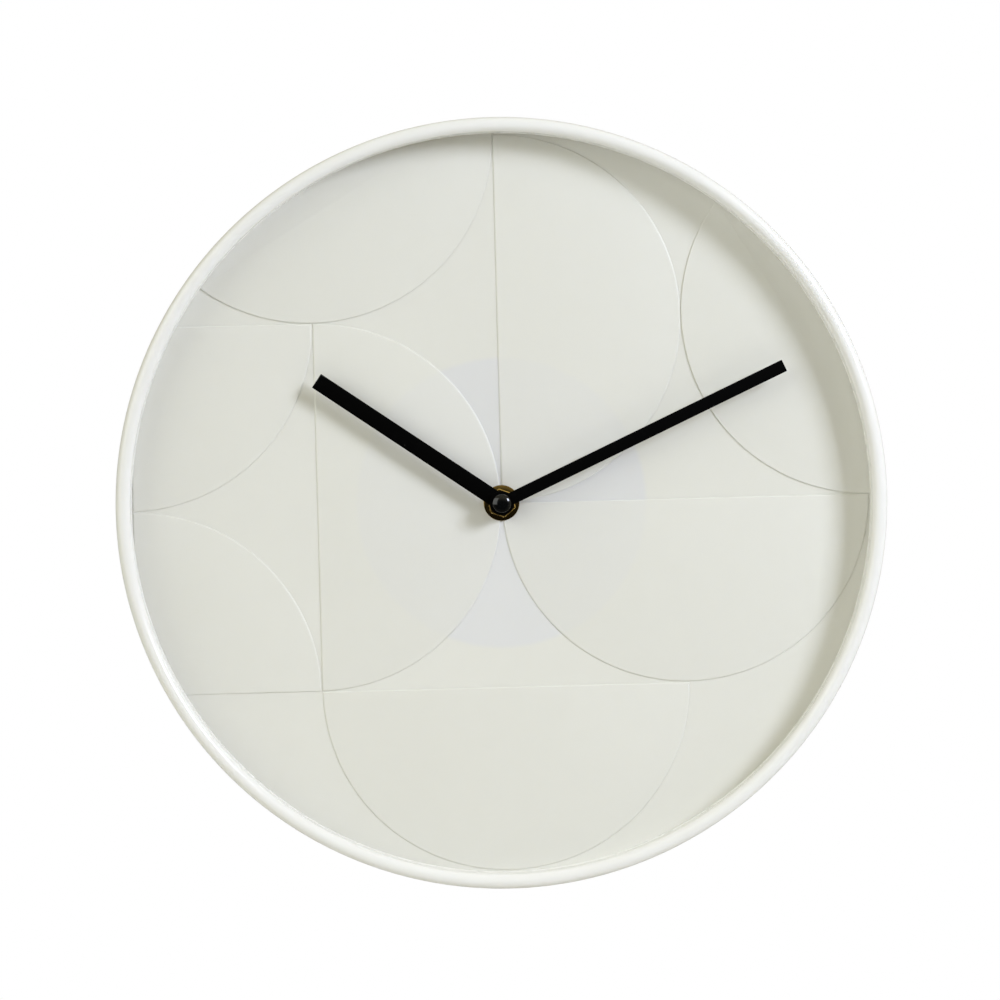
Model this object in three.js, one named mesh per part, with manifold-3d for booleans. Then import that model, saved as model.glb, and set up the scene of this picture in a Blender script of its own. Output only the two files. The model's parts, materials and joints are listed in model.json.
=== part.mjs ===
// A round battery wall clock: a moulded case ring with a full-round lip, a dial with raised round
// panels, two plain bar hands on coaxial arbors, and a quartz movement with its whole gear train.
// Units are millimetres. +Z is up, the wall is the plane y = 0 and the dial faces -Y.
// The origin is the point on the wall where the hook bears on the top of the keyhole.
import * as THREE from "three";
import { mergeVertices } from "three/addons/utils/BufferGeometryUtils.js";
import Module from "manifold-3d";

const wasm = await Module();
wasm.setup();

// ---------------------------------------------------------------- driving dimensions

// Clearances.
const seat = 0.2; // gap between two faces that rest on each other
const fit = 0.3; // radial gap between a piece and what it drops into
const running = 0.2; // radial gap of a turning shaft in its hole
const bite = 0.5; // how far joined shapes run into each other
const roundSegments = 64; // sides of the circles that are as wide as the case

// Case ring.
const caseDiameter = 300;
const caseDepth = 40;
const lipWidth = 5.6; // the lip is full-round, so this is also its diameter
const wallDraft = 1.6; // how much the outer wall narrows on the radius towards the wall
const rearWallWidth = 2.6;
const ledgeWidth = 4;
const ledgeThickness = 1.6;
const foamThickness = 0.6;

// Dial.
const dialThickness = 2.2;
const reliefHeight = 0.6; // the raised panels stand this far above the dial's face
const panelGap = 0.2; // how far each panel stays inside its grid circle, so that no two touch

// Back pan.
const panStandoff = 3; // from the wall to the pan's rear face
const panThickness = 2.5;
const wellDiameter = 113;
const wellWall = 1.8;
const hookDrop = 105; // from the hook's bearing point down to the arbor axis
const keyholeEntry = 10;
const keyholeSlot = 5;
const keyholeTravel = 12; // from the entry hole's centre up to the slot's top end
const screwCount = 6;
const screwDiameter = 2.8;
const screwHeadDiameter = 5;
const screwHeadHeight = 1.8;
const screwLength = 9;
const screwPoint = 1;
const bossDiameter = 8;

// Movement housing. Its outside follows from the cell and the train that it has to hold.
const movementRear = 4; // from the wall to the movement's rear face
const movementCorner = 2;
const housingWall = 1.4;
const coverThickness = 2;
const batteryDiameter = 14.2;
const batteryLength = 49.2;
const batteryNub = 1;
const batteryNubDiameter = 5.7;
const contactThickness = 0.4;
const contactShare = 0.6; // a contact's height as a share of the cell's diameter
const springTipDiameter = 3;
const springFootDiameter = 6;
const contactRoom = 1.1; // beyond each end of the cell, for the contact's spring
const cellRoom = 0.8; // beside the cell, each way
const cellRearRoom = 0.9; // how much deeper the housing is than the cell and the floor
const wheelRoom = 1.2; // between the centre wheel and the battery bay's wall
const coilRoom = 0.9; // between the coil and the top wall

// Fixing stack on the bush. Rims are how far a piece reaches out from the bush.
const bushWall = 1.2;
const bushFlangeRim = 2.5;
const bushFlange = 1;
const rubberRim = 6;
const rubberThickness = 1;
const washerRim = 3;
const washerThickness = 0.6;
const nutRim = 1; // at the middle of a flat
const nutThickness = 2.5;
const nutTurn = THREE.MathUtils.degToRad(10);
const bushProud = 0.6; // how far the bush ends in front of the nut

// Hands. Angles are clockwise from 12, seen from the front.
const minuteLength = 122.5;
const minuteWidth = 4.1;
const minuteAngle = THREE.MathUtils.degToRad(65.3);
const hourLength = 86.5;
const hourWidth = 5;
const hourAngle = THREE.MathUtils.degToRad(304.5);
const handThickness = 0.6;
const hubDiameter = 8.5;
const collarWall = 0.6;
const collarLength = 1.2;
const capDiameter = 7.2;
const capHeight = 2.6;
const capRim = 0.6; // straight height below the cap's dome

// Arbors.
const minuteArborDiameter = 3;
const hourPipeWall = 0.8;
const wheelArborDiameter = 1;
const arborEnd = 1; // how far an arbor stands out in front of its wheel
const rotorArborDiameter = 0.7;
const cannonTailDiameter = 2; // where the centre wheel grips the cannon arbor

// Gear train: teeth, and the module of each pair in mesh.
const rotorTeeth = 8;
const intermediateTeeth = 48;
const rotorModule = 0.2;
const intermediatePinionTeeth = 8;
const secondsTeeth = 40;
const secondsModule = 0.3;
const secondsPinionTeeth = 8;
const thirdTeeth = 60;
const thirdPinionTeeth = 8;
const centreTeeth = 64;
const centreModule = 0.25;
const cannonTeeth = 12;
const motionTeeth = 36;
const motionPinionTeeth = 10;
const hourTeeth = 40;
const settingTeeth = 12;
const motionModule = 0.25;
const toothAddendum = 0.8; // in modules
const toothDedendum = 1.15; // in modules
const wheelThickness = 0.9;

// Directions from one wheel to the next, anticlockwise from +X seen from the front.
const thirdDirection = Math.PI;
const intermediateDirection = Math.PI / 3;
const rotorDirection = Math.PI / 3;
const motionDirection = 0;
const settingDirection = 0;

// Drive coil and circuit.
const rotorMagnetDiameter = 5;
const rotorMagnetLength = 2;
const statorGap = 0.7;
const statorThickness = 1;
const statorArmWidth = 3;
const statorBarHeight = 5;
const statorLobe = 2; // width of the stator round the rotor hole
const coilLength = 22;
const coilFlangeDiameter = 8.4;
const coilFlange = 1;
const coilTubeDiameter = 4.6;
const coilBore = 3.4;
const windingDiameter = 7.2;
const coilRise = 10.4; // from the rotor up to the coil
const coreHeight = 2.4;
const coreThickness = 0.9;
const boardWidth = 15;
const boardHeight = 14;
const boardThickness = 1;
const boardStandoff = 1; // from the rear cover to the board
const crystalDiameter = 2;
const crystalLength = 6;
const knobDiameter = 9;
const knobThickness = 2;
const knobArborDiameter = 1.8;

// ---------------------------------------------------------------- depths and radii that follow
// Depths are distances in front of the wall.

const caseRadius = caseDiameter / 2;
const lipRadius = lipWidth / 2;
const lipInner = caseRadius - lipWidth;
const wallRear = caseRadius - wallDraft;
const wallInner = wallRear - rearWallWidth;
const ledgeInner = lipInner - ledgeWidth;

const hourPipeBore = minuteArborDiameter + 2 * running;
const hourPipeDiameter = hourPipeBore + 2 * hourPipeWall;
const bushBore = hourPipeDiameter + 2 * fit;
const bushDiameter = bushBore + 2 * bushWall;

const movementFront = movementRear + cellRearRoom + batteryDiameter + housingWall;
const flangeRear = movementFront + seat;
const rubberRear = flangeRear + bushFlange + seat;
const dialRear = rubberRear + rubberThickness + seat;
const dialFace = dialRear + dialThickness;
const reliefFace = dialFace + reliefHeight;
const washerRear = reliefFace + seat;
const nutRear = washerRear + washerThickness + seat;
const bushFront = nutRear + nutThickness + bushProud;
const hourHandRear = bushFront + seat + collarLength;
const hourHandFront = hourHandRear + handThickness;
const minuteHandRear = hourHandFront + 2 * seat + collarLength;
const minuteHandFront = minuteHandRear + handThickness;
const capRear = minuteHandFront + seat;

const foamRear = dialRear - seat - foamThickness;
const ledgeFront = foamRear - seat;
const ledgeRear = ledgeFront - ledgeThickness;
const panFront = panStandoff + panThickness;
const bossCircle = wallInner - bossDiameter / 2 + bite;

const insideHalf = (batteryLength + batteryNub) / 2 + contactThickness + contactRoom;
const chamberRear = movementRear + coverThickness;
const chamberFront = movementFront - housingWall;
const batteryDepth = chamberFront - fit - batteryDiameter / 2;

// Planes of the train, counted back from the housing's floor.
const planeStep = wheelThickness + seat;
const hourPlane = chamberFront - planeStep - seat;
const motionPlane = hourPlane - planeStep;
const centrePlane = motionPlane - planeStep - seat;
const thirdPlane = centrePlane - planeStep - wheelThickness;
const rotorPlane = thirdPlane - 2 * planeStep;
const secondsPlane = rotorPlane - 2 * planeStep;
const arborRear = chamberRear + seat;

// ---------------------------------------------------------------- shape helpers

// A closed outline pushed forward from one depth to another.
function plate(shape, rear, front, curveSegments = 24) {
  const geometry = new THREE.ExtrudeGeometry(shape, {
    depth: front - rear,
    bevelEnabled: false,
    curveSegments,
  });
  return geometry.translate(0, 0, rear).rotateX(Math.PI / 2);
}

// A profile of [radius, depth] points turned about the arbor axis.
function turned(profile, segments = 24) {
  const points = profile.map(([radius, depth]) => new THREE.Vector2(radius, depth));
  return new THREE.LatheGeometry(points, segments).rotateX(Math.PI);
}

// A turned ring or disc with flat ends; an inner radius of 0 makes it solid.
function ring(inner, outer, rear, front, segments = 24) {
  const profile = [
    [inner, rear],
    [outer, rear],
    [outer, front],
    [inner, front],
  ];
  if (inner > 0) profile.push([inner, rear]);
  return turned(profile, segments);
}

function circle(radius, x = 0, z = 0) {
  return new THREE.Shape().absarc(x, z, radius, 0, 2 * Math.PI);
}

function polygon(points) {
  return new THREE.Shape(points.map(([x, z]) => new THREE.Vector2(x, z)));
}

function rectangle(left, bottom, right, top) {
  return polygon([
    [left, bottom],
    [right, bottom],
    [right, top],
    [left, top],
  ]);
}

// A rectangle with rounded corners.
function roundedRectangle(left, bottom, right, top, radius) {
  const shape = new THREE.Shape();
  shape.absarc(right - radius, bottom + radius, radius, -Math.PI / 2, 0);
  shape.absarc(right - radius, top - radius, radius, 0, Math.PI / 2);
  shape.absarc(left + radius, top - radius, radius, Math.PI / 2, Math.PI);
  shape.absarc(left + radius, bottom + radius, radius, Math.PI, 1.5 * Math.PI);
  return shape;
}

// A place at a distance from another, in a direction seen from the front.
function away([x, z], distance, direction) {
  return [x + distance * Math.cos(direction), z + distance * Math.sin(direction)];
}

// Moves a geometry across the dial's plane.
function shifted(geometry, [x, z]) {
  return geometry.translate(x, 0, z);
}

// ---------------------------------------------------------------- joining and cutting

function toSolid(geometry) {
  const bare = new THREE.BufferGeometry();
  bare.setAttribute("position", geometry.getAttribute("position").clone());
  if (geometry.index) bare.setIndex(geometry.index.clone());
  const merged = mergeVertices(bare, 1e-4);
  return new wasm.Manifold(
    new wasm.Mesh({
      numProp: 3,
      vertProperties: merged.attributes.position.array,
      triVerts: new Uint32Array(merged.index.array),
    }),
  );
}

function toGeometry(solid) {
  const mesh = solid.getMesh();
  const geometry = new THREE.BufferGeometry();
  geometry.setAttribute("position", new THREE.BufferAttribute(mesh.vertProperties, 3));
  geometry.setIndex(new THREE.BufferAttribute(mesh.triVerts, 1));
  geometry.computeVertexNormals();
  return geometry;
}

function joined(first, ...others) {
  return toGeometry(others.reduce((sum, other) => sum.add(toSolid(other)), toSolid(first)));
}

function cutBy(first, ...others) {
  return toGeometry(others.reduce((rest, other) => rest.subtract(toSolid(other)), toSolid(first)));
}

function common(first, second) {
  return toGeometry(toSolid(first).intersect(toSolid(second)));
}

// ---------------------------------------------------------------- gears

const pitchRadius = (teeth, module) => (teeth * module) / 2;
const tipRadius = (teeth, module) => pitchRadius(teeth, module) + toothAddendum * module;
const meshDistance = (one, other, module) => pitchRadius(one + other, module);

// Trapezoid teeth with backlash. The first tooth points along the phase angle.
function toothedOutline(teeth, module, phase) {
  const pitch = (2 * Math.PI) / teeth;
  const root = pitchRadius(teeth, module) - toothDedendum * module;
  const tip = tipRadius(teeth, module);
  const corners = [
    [root, -0.25],
    [tip, -0.1],
    [tip, 0.1],
    [root, 0.25],
  ];
  const points = [];
  for (let tooth = 0; tooth < teeth; tooth += 1) {
    for (const [radius, share] of corners) {
      points.push(away([0, 0], radius, phase + (tooth + share) * pitch));
    }
  }
  return polygon(points);
}

function gear(teeth, module, phase, rear, front) {
  return plate(toothedOutline(teeth, module, phase), rear, front, 1);
}

// The phase that puts a gap of the second gear on the line from the first, where the first
// gear has a tooth at its own phase angle.
function meshedPhase(phase, teeth, direction, otherTeeth) {
  const offset = ((direction - phase) * teeth) / otherTeeth;
  return direction + Math.PI + offset + Math.PI / otherTeeth;
}

// ---------------------------------------------------------------- places of the train

const axis = [0, 0];
const thirdModule = (centreModule * (thirdPinionTeeth + centreTeeth)) / (secondsPinionTeeth + thirdTeeth);
const hourModule = (motionModule * (cannonTeeth + motionTeeth)) / (motionPinionTeeth + hourTeeth);
const thirdPlace = away(axis, meshDistance(thirdPinionTeeth, centreTeeth, centreModule), thirdDirection);
const intermediatePlace = away(
  axis,
  meshDistance(intermediatePinionTeeth, secondsTeeth, secondsModule),
  intermediateDirection,
);
const rotorPlace = away(
  intermediatePlace,
  meshDistance(rotorTeeth, intermediateTeeth, rotorModule),
  rotorDirection,
);
const motionPlace = away(axis, meshDistance(cannonTeeth, motionTeeth, motionModule), motionDirection);
const settingPlace = away(
  motionPlace,
  meshDistance(settingTeeth, motionTeeth, motionModule),
  settingDirection,
);
const coilPlace = [rotorPlace[0], rotorPlace[1] + coilRise];
const coilDepth = thirdPlane + wheelThickness - coreThickness / 2 - seat;
const statorRear = coilDepth + coreThickness / 2 + seat;

// Heights inside the housing, from the arbor axis.
const chamberTop = coilPlace[1] + coilFlangeDiameter / 2 + coilRoom;
const chamberBottom = -(tipRadius(centreTeeth, centreModule) + wheelRoom);
const bayTop = chamberBottom - housingWall;
const bayBottom = bayTop - batteryDiameter - 2 * cellRoom;
const bayCentre = (bayTop + bayBottom) / 2;
const housingHalf = insideHalf + housingWall;
const housingTop = chamberTop + housingWall;
const housingBottom = bayBottom - housingWall;

// ---------------------------------------------------------------- case

function screwPlaces() {
  const places = [];
  for (let screw = 0; screw < screwCount; screw += 1) {
    places.push(away(axis, bossCircle, ((screw + 0.5) * 2 * Math.PI) / screwCount));
  }
  return places;
}

// The ring's section: rear rim, outer wall with draft, full-round lip, inner wall and dial ledge.
function caseSection() {
  const lipCentre = caseDepth - lipRadius;
  const section = [
    [wallInner, 0],
    [wallRear, 0],
  ];
  const lipSteps = 6;
  for (let step = 0; step <= lipSteps; step += 1) {
    const angle = (step / lipSteps) * Math.PI;
    section.push([
      caseRadius - lipRadius + lipRadius * Math.cos(angle),
      lipCentre + lipRadius * Math.sin(angle),
    ]);
  }
  section.push(
    [lipInner, ledgeFront],
    [ledgeInner, ledgeFront],
    [ledgeInner, ledgeRear],
    [wallInner, ledgeRear],
    [wallInner, 0],
  );
  return section;
}

function caseRing() {
  let body = turned(caseSection(), roundSegments);
  for (const place of screwPlaces()) {
    const bossRear = panFront + seat;
    const boss = shifted(ring(0, bossDiameter / 2, bossRear, ledgeRear + bite, 16), place);
    const pilotDepth = panStandoff + screwLength + fit;
    const pilot = shifted(ring(0, screwDiameter / 2 + seat, 0, pilotDepth, 12), place);
    body = cutBy(joined(body, boss), pilot);
  }
  return body;
}

function foamRing() {
  return ring(ledgeInner + fit, lipInner - 2 * fit, foamRear, foamRear + foamThickness, roundSegments);
}

// ---------------------------------------------------------------- dial

// The panels lie on a square grid whose pitch is half the dial's radius, so each is a disc, or a
// half or a quarter of one, of one grid step in radius. Each row is a centre in grid steps and the
// arc that is kept, in quarter turns.
const panels = [
  { centre: [-1, 2], from: 0, to: 4 },
  { centre: [2, 1], from: 0, to: 4 },
  { centre: [0, 1], from: -1, to: 1 },
  { centre: [-1, 0], from: -1, to: 1 },
  { centre: [0, -1], from: 2, to: 4 },
  { centre: [1, 0], from: 2, to: 4 },
  { centre: [-2, 1], from: -1, to: 0 },
  { centre: [-2, -1], from: 0, to: 1 },
];

function panelShape({ centre, from, to }, gridStep) {
  const [x, z] = centre.map((steps) => steps * gridStep);
  const shape = new THREE.Shape();
  const isSlice = to - from < 4;
  if (isSlice) shape.moveTo(x, z);
  shape.absarc(x, z, gridStep - panelGap, (from * Math.PI) / 2, (to * Math.PI) / 2);
  return shape;
}

function dialPlate() {
  const dialRadius = lipInner - fit;
  const base = ring(0, dialRadius, dialRear, dialFace, roundSegments);
  const rim = ring(0, dialRadius, dialRear + bite, reliefFace, roundSegments);
  const relief = panels.map((panel) =>
    plate(panelShape(panel, dialRadius / 2), dialRear + bite, reliefFace, 6 * (panel.to - panel.from)),
  );
  const hole = ring(0, bushDiameter / 2 + fit, 0, caseDepth, 24);
  return cutBy(joined(base, ...relief.map((panel) => common(panel, rim))), hole);
}

// ---------------------------------------------------------------- back pan

function backPan() {
  const wellInner = wellDiameter / 2;
  const wellOuter = wellInner + wellWall;
  const panOuter = wallInner - fit;
  const wellFront = dialRear - seat;
  const section = [
    [wellInner, panStandoff],
    [panOuter, panStandoff],
    [panOuter, panFront],
    [wellOuter, panFront],
    [wellOuter, wellFront],
    [wellInner, wellFront],
    [wellInner, panStandoff],
  ];
  const holes = screwPlaces().map((place) =>
    shifted(ring(0, screwDiameter / 2 + fit, 0, 2 * panFront, 12), place),
  );
  return cutBy(turned(section, roundSegments), keyhole(), ...holes);
}

// A round entry that the hook's head passes, and a slot that runs up to the bearing point.
function keyhole() {
  const slotRadius = keyholeSlot / 2;
  const slotTop = hookDrop - slotRadius;
  const entryPlace = [0, hookDrop - keyholeTravel];
  const entry = shifted(ring(0, keyholeEntry / 2, 0, 2 * panFront, 24), entryPlace);
  const slot = new THREE.Shape();
  slot.moveTo(-slotRadius, entryPlace[1]);
  slot.lineTo(slotRadius, entryPlace[1]);
  slot.absarc(0, slotTop, slotRadius, 0, Math.PI);
  return joined(entry, plate(slot, 0, 2 * panFront, 12));
}

function panScrew() {
  return turned(
    [
      [0, panStandoff - seat - screwHeadHeight],
      [screwHeadDiameter / 2, panStandoff - seat - screwHeadHeight],
      [screwHeadDiameter / 2, panStandoff - seat],
      [screwDiameter / 2, panStandoff - seat],
      [screwDiameter / 2, panStandoff + screwLength - screwPoint],
      [0, panStandoff + screwLength],
    ],
    12,
  );
}

// ---------------------------------------------------------------- fixing stack

function threadedBush() {
  return turned([
    [bushBore / 2, movementFront - housingWall],
    [bushDiameter / 2, movementFront - housingWall],
    [bushDiameter / 2, flangeRear],
    [bushDiameter / 2 + bushFlangeRim, flangeRear],
    [bushDiameter / 2 + bushFlangeRim, flangeRear + bushFlange],
    [bushDiameter / 2, flangeRear + bushFlange],
    [bushDiameter / 2, bushFront],
    [bushBore / 2, bushFront],
    [bushBore / 2, movementFront - housingWall],
  ]);
}

function rubberWasher() {
  const bushRadius = bushDiameter / 2;
  return ring(bushRadius + fit, bushRadius + rubberRim, rubberRear, rubberRear + rubberThickness);
}

function brassWasher() {
  const bushRadius = bushDiameter / 2;
  return ring(bushRadius + fit, bushRadius + washerRim, washerRear, washerRear + washerThickness);
}

function hexNut() {
  const shape = new THREE.Shape();
  const cornerRadius = (bushDiameter + 2 * nutRim) / Math.sqrt(3);
  for (let corner = 0; corner < 6; corner += 1) {
    const [x, z] = away(axis, cornerRadius, nutTurn + Math.PI / 2 + (corner * Math.PI) / 3);
    if (corner === 0) shape.moveTo(x, z);
    else shape.lineTo(x, z);
  }
  shape.holes.push(circle(bushDiameter / 2 + seat));
  return plate(shape, nutRear, nutRear + nutThickness, 16);
}

// ---------------------------------------------------------------- hands

// A plain bar with a square tip, a round hub and a collar behind it that grips the arbor.
function hand(length, width, angle, rear, grip) {
  const boreRadius = grip / 2 + seat;
  const bar = plate(rectangle(-width / 2, 0, width / 2, length), rear, rear + handThickness);
  const hub = ring(0, hubDiameter / 2, rear, rear + handThickness);
  const collar = ring(0, boreRadius + collarWall, rear - collarLength, rear + handThickness / 2);
  const bore = ring(0, boreRadius, rear - 2 * collarLength, rear + 2 * handThickness);
  return cutBy(joined(hub, collar, bar), bore).rotateY(angle);
}

// A low dome on a short straight rim.
function centreCap() {
  const radius = capDiameter / 2;
  const steps = 6;
  const profile = [
    [0, capRear],
    [radius, capRear],
  ];
  for (let step = 0; step < steps; step += 1) {
    const angle = (step / steps) * (Math.PI / 2);
    profile.push([
      radius * Math.cos(angle),
      capRear + capRim + (capHeight - capRim) * Math.sin(angle),
    ]);
  }
  profile.push([0, capRear + capHeight]);
  return turned(profile, 24);
}

// ---------------------------------------------------------------- movement housing

// A tray open to the rear: the gear chamber above, the battery bay below.
function frontHousing() {
  const outline = roundedRectangle(-housingHalf, housingBottom, housingHalf, housingTop, movementCorner);
  const outer = plate(outline, movementRear, movementFront, 6);
  const chamber = plate(rectangle(-insideHalf, chamberBottom, insideHalf, chamberTop), 0, chamberFront);
  const bay = plate(rectangle(-insideHalf, bayBottom, insideHalf, bayTop), 0, chamberFront);
  const beyond = 2 * housingHalf;
  const coverSeat = plate(
    rectangle(-beyond, bayTop + housingWall / 2, beyond, beyond),
    0,
    chamberRear + seat,
  );
  const bushHole = ring(0, bushDiameter / 2 + fit, chamberFront - bite, caseDepth, 24);
  return cutBy(outer, chamber, bay, coverSeat, bushHole);
}

function rearCover() {
  const bottom = bayTop + housingWall / 2 + fit;
  const outline = roundedRectangle(-housingHalf, bottom, housingHalf, housingTop, movementCorner);
  const hole = shifted(ring(0, knobArborDiameter / 2 + running, 0, caseDepth, 16), settingPlace);
  return cutBy(plate(outline, movementRear, chamberRear, 6), hole);
}

// A single cell lying across the bay, its positive end at +X.
function battery() {
  const halfLength = batteryLength / 2;
  const cell = new THREE.LatheGeometry(
    [
      [0, -halfLength],
      [batteryDiameter / 2 - bite, -halfLength],
      [batteryDiameter / 2, bite - halfLength],
      [batteryDiameter / 2, halfLength - bite],
      [batteryDiameter / 2 - bite, halfLength],
      [batteryNubDiameter / 2, halfLength],
      [batteryNubDiameter / 2, halfLength + batteryNub],
      [0, halfLength + batteryNub],
    ].map(([radius, along]) => new THREE.Vector2(radius, along)),
    24,
  );
  return cell.rotateZ(-Math.PI / 2).translate(-batteryNub / 2, -batteryDepth, bayCentre);
}

function contactPlate() {
  const height = batteryDiameter * contactShare;
  return plate(
    rectangle(0, bayCentre - height / 2, contactThickness, bayCentre + height / 2),
    batteryDepth - height / 2,
    batteryDepth + height / 2,
  );
}

function positiveContact() {
  return contactPlate().translate(insideHalf - seat - contactThickness, 0, 0);
}

// A plate with a pressed cone that stands in for the spring against the cell's flat end.
function negativeContact() {
  const inside = seat - insideHalf;
  const cellEnd = -batteryLength / 2 - batteryNub / 2 - seat;
  const reach = cellEnd - inside - contactThickness / 2;
  const cone = new THREE.CylinderGeometry(springTipDiameter / 2, springFootDiameter / 2, reach, 16)
    .rotateZ(-Math.PI / 2)
    .translate(inside + contactThickness / 2 + reach / 2, -batteryDepth, bayCentre);
  return joined(contactPlate().translate(inside, 0, 0), cone);
}

// ---------------------------------------------------------------- drive coil and circuit

// A flat soft-iron plate: a bar with a hole for the rotor, and two arms up to the coil's core.
function stator() {
  const [x, z] = rotorPlace;
  const reach = coilLength / 2 + fit + statorArmWidth;
  const barHalf = statorBarHeight / 2;
  const armTop = coilPlace[1] + coreHeight / 2;
  const outline = polygon([
    [x - reach, z - barHalf],
    [x + reach, z - barHalf],
    [x + reach, armTop],
    [x + reach - statorArmWidth, armTop],
    [x + reach - statorArmWidth, z + barHalf],
    [x - reach + statorArmWidth, z + barHalf],
    [x - reach + statorArmWidth, armTop],
    [x - reach, armTop],
  ]);
  const front = statorRear + statorThickness;
  const holeRadius = rotorMagnetDiameter / 2 + statorGap;
  const lobe = shifted(ring(0, holeRadius + statorLobe, statorRear, front, 24), rotorPlace);
  const hole = shifted(ring(0, holeRadius, 0, caseDepth, 24), rotorPlace);
  return cutBy(joined(plate(outline, statorRear, front), lobe), hole);
}

// Turned pieces of the coil lie along X, centred on the coil's place.
function alongCoil(profile) {
  const points = profile.map(([radius, along]) => new THREE.Vector2(radius, along));
  return new THREE.LatheGeometry(points, 20)
    .rotateZ(-Math.PI / 2)
    .translate(coilPlace[0], -coilDepth, coilPlace[1]);
}

function coilBobbin() {
  const end = coilLength / 2;
  const inner = end - coilFlange;
  return alongCoil([
    [coilBore / 2, -end],
    [coilFlangeDiameter / 2, -end],
    [coilFlangeDiameter / 2, -inner],
    [coilTubeDiameter / 2, -inner],
    [coilTubeDiameter / 2, inner],
    [coilFlangeDiameter / 2, inner],
    [coilFlangeDiameter / 2, end],
    [coilBore / 2, end],
    [coilBore / 2, -end],
  ]);
}

function coilWinding() {
  const end = coilLength / 2 - coilFlange - seat;
  const inner = coilTubeDiameter / 2 + seat;
  return alongCoil([
    [inner, -end],
    [windingDiameter / 2, -end],
    [windingDiameter / 2, end],
    [inner, end],
    [inner, -end],
  ]);
}

function coilCore() {
  const reach = coilLength / 2 + fit + statorArmWidth;
  const [x, z] = coilPlace;
  return plate(
    rectangle(x - reach, z - coreHeight / 2, x + reach, z + coreHeight / 2),
    coilDepth - coreThickness / 2,
    coilDepth + coreThickness / 2,
  );
}

const boardLeft = fit - insideHalf;
const boardTop = chamberTop - fit;
const boardRear = chamberRear + boardStandoff;

function circuitBoard() {
  return plate(
    rectangle(boardLeft, boardTop - boardHeight, boardLeft + boardWidth, boardTop),
    boardRear,
    boardRear + boardThickness,
  );
}

function quartzCrystal() {
  const depth = boardRear + boardThickness + seat + crystalDiameter / 2;
  return new THREE.CylinderGeometry(crystalDiameter / 2, crystalDiameter / 2, crystalLength, 12)
    .rotateZ(Math.PI / 2)
    .translate(boardLeft + boardWidth / 2, -depth, boardTop - boardHeight / 4);
}

// ---------------------------------------------------------------- wheels

function arbor(radius, rear, front) {
  return ring(0, radius, rear, front, 8);
}

// The rotor and the seconds, third and centre wheels mesh in a chain from the cannon's axis out.
const thirdPinionPhase = 0;
const centrePhase = meshedPhase(thirdPinionPhase, thirdPinionTeeth, thirdDirection + Math.PI, centreTeeth);
const secondsPinionPhase = meshedPhase(0, thirdTeeth, thirdDirection + Math.PI, secondsPinionTeeth);
const intermediatePinionPhase = meshedPhase(0, secondsTeeth, intermediateDirection, intermediatePinionTeeth);
const rotorPhase = meshedPhase(0, intermediateTeeth, rotorDirection, rotorTeeth);
const motionPhase = meshedPhase(0, cannonTeeth, motionDirection, motionTeeth);
const settingPhase = meshedPhase(motionPhase, motionTeeth, settingDirection, settingTeeth);
const hourPhase = meshedPhase(0, motionPinionTeeth, motionDirection + Math.PI, hourTeeth);

function rotorPinion() {
  const pinion = gear(rotorTeeth, rotorModule, rotorPhase, rotorPlane - seat, rotorPlane + wheelThickness + seat);
  return shifted(joined(pinion, arbor(rotorArborDiameter / 2, arborRear, statorRear + statorThickness + arborEnd)), rotorPlace);
}

function rotorMagnet() {
  const middle = statorRear + statorThickness / 2;
  const rear = middle - rotorMagnetLength / 2;
  return shifted(ring(rotorArborDiameter / 2 + seat, rotorMagnetDiameter / 2, rear, rear + rotorMagnetLength, 20), rotorPlace);
}

function intermediateWheel() {
  const wheel = gear(intermediateTeeth, rotorModule, 0, rotorPlane, rotorPlane + wheelThickness);
  const pinion = gear(
    intermediatePinionTeeth,
    secondsModule,
    intermediatePinionPhase,
    secondsPlane - seat,
    secondsPlane + wheelThickness + seat,
  );
  const shaft = arbor(wheelArborDiameter / 2, arborRear, rotorPlane + wheelThickness + arborEnd);
  return shifted(joined(wheel, pinion, shaft), intermediatePlace);
}

function secondsWheel() {
  const wheel = gear(secondsTeeth, secondsModule, 0, secondsPlane, secondsPlane + wheelThickness);
  const pinion = gear(
    secondsPinionTeeth,
    thirdModule,
    secondsPinionPhase,
    thirdPlane - seat,
    thirdPlane + wheelThickness + seat,
  );
  return joined(wheel, pinion, arbor(wheelArborDiameter / 2, arborRear, thirdPlane + wheelThickness));
}

function thirdWheel() {
  const wheel = gear(thirdTeeth, thirdModule, 0, thirdPlane, thirdPlane + wheelThickness);
  const pinion = gear(
    thirdPinionTeeth,
    centreModule,
    thirdPinionPhase,
    centrePlane - seat,
    centrePlane + wheelThickness + seat,
  );
  const shaft = arbor(wheelArborDiameter / 2, arborRear, motionPlane + wheelThickness);
  return shifted(joined(wheel, pinion, shaft), thirdPlace);
}

function centreWheel() {
  const wheel = gear(centreTeeth, centreModule, centrePhase, centrePlane, centrePlane + wheelThickness);
  return cutBy(wheel, ring(0, cannonTailDiameter / 2 + running, 0, caseDepth, 16));
}

// The cannon pinion and the arbor that carries the minute hand, one turned piece.
function cannonArbor() {
  const pinionFront = motionPlane + wheelThickness;
  const pinion = gear(cannonTeeth, motionModule, 0, motionPlane - seat / 2, pinionFront);
  const tail = arbor(cannonTailDiameter / 2, centrePlane - seat, pinionFront + bite);
  const stem = arbor(minuteArborDiameter / 2, pinionFront, minuteHandFront - seat);
  return joined(pinion, tail, stem);
}

function hourWheel() {
  const wheel = gear(hourTeeth, hourModule, hourPhase, hourPlane, hourPlane + wheelThickness);
  const pipe = ring(0, hourPipeDiameter / 2, hourPlane, hourHandFront + seat, 24);
  const bore = ring(0, hourPipeBore / 2, 0, caseDepth, 24);
  return cutBy(joined(wheel, pipe), bore);
}

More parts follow.
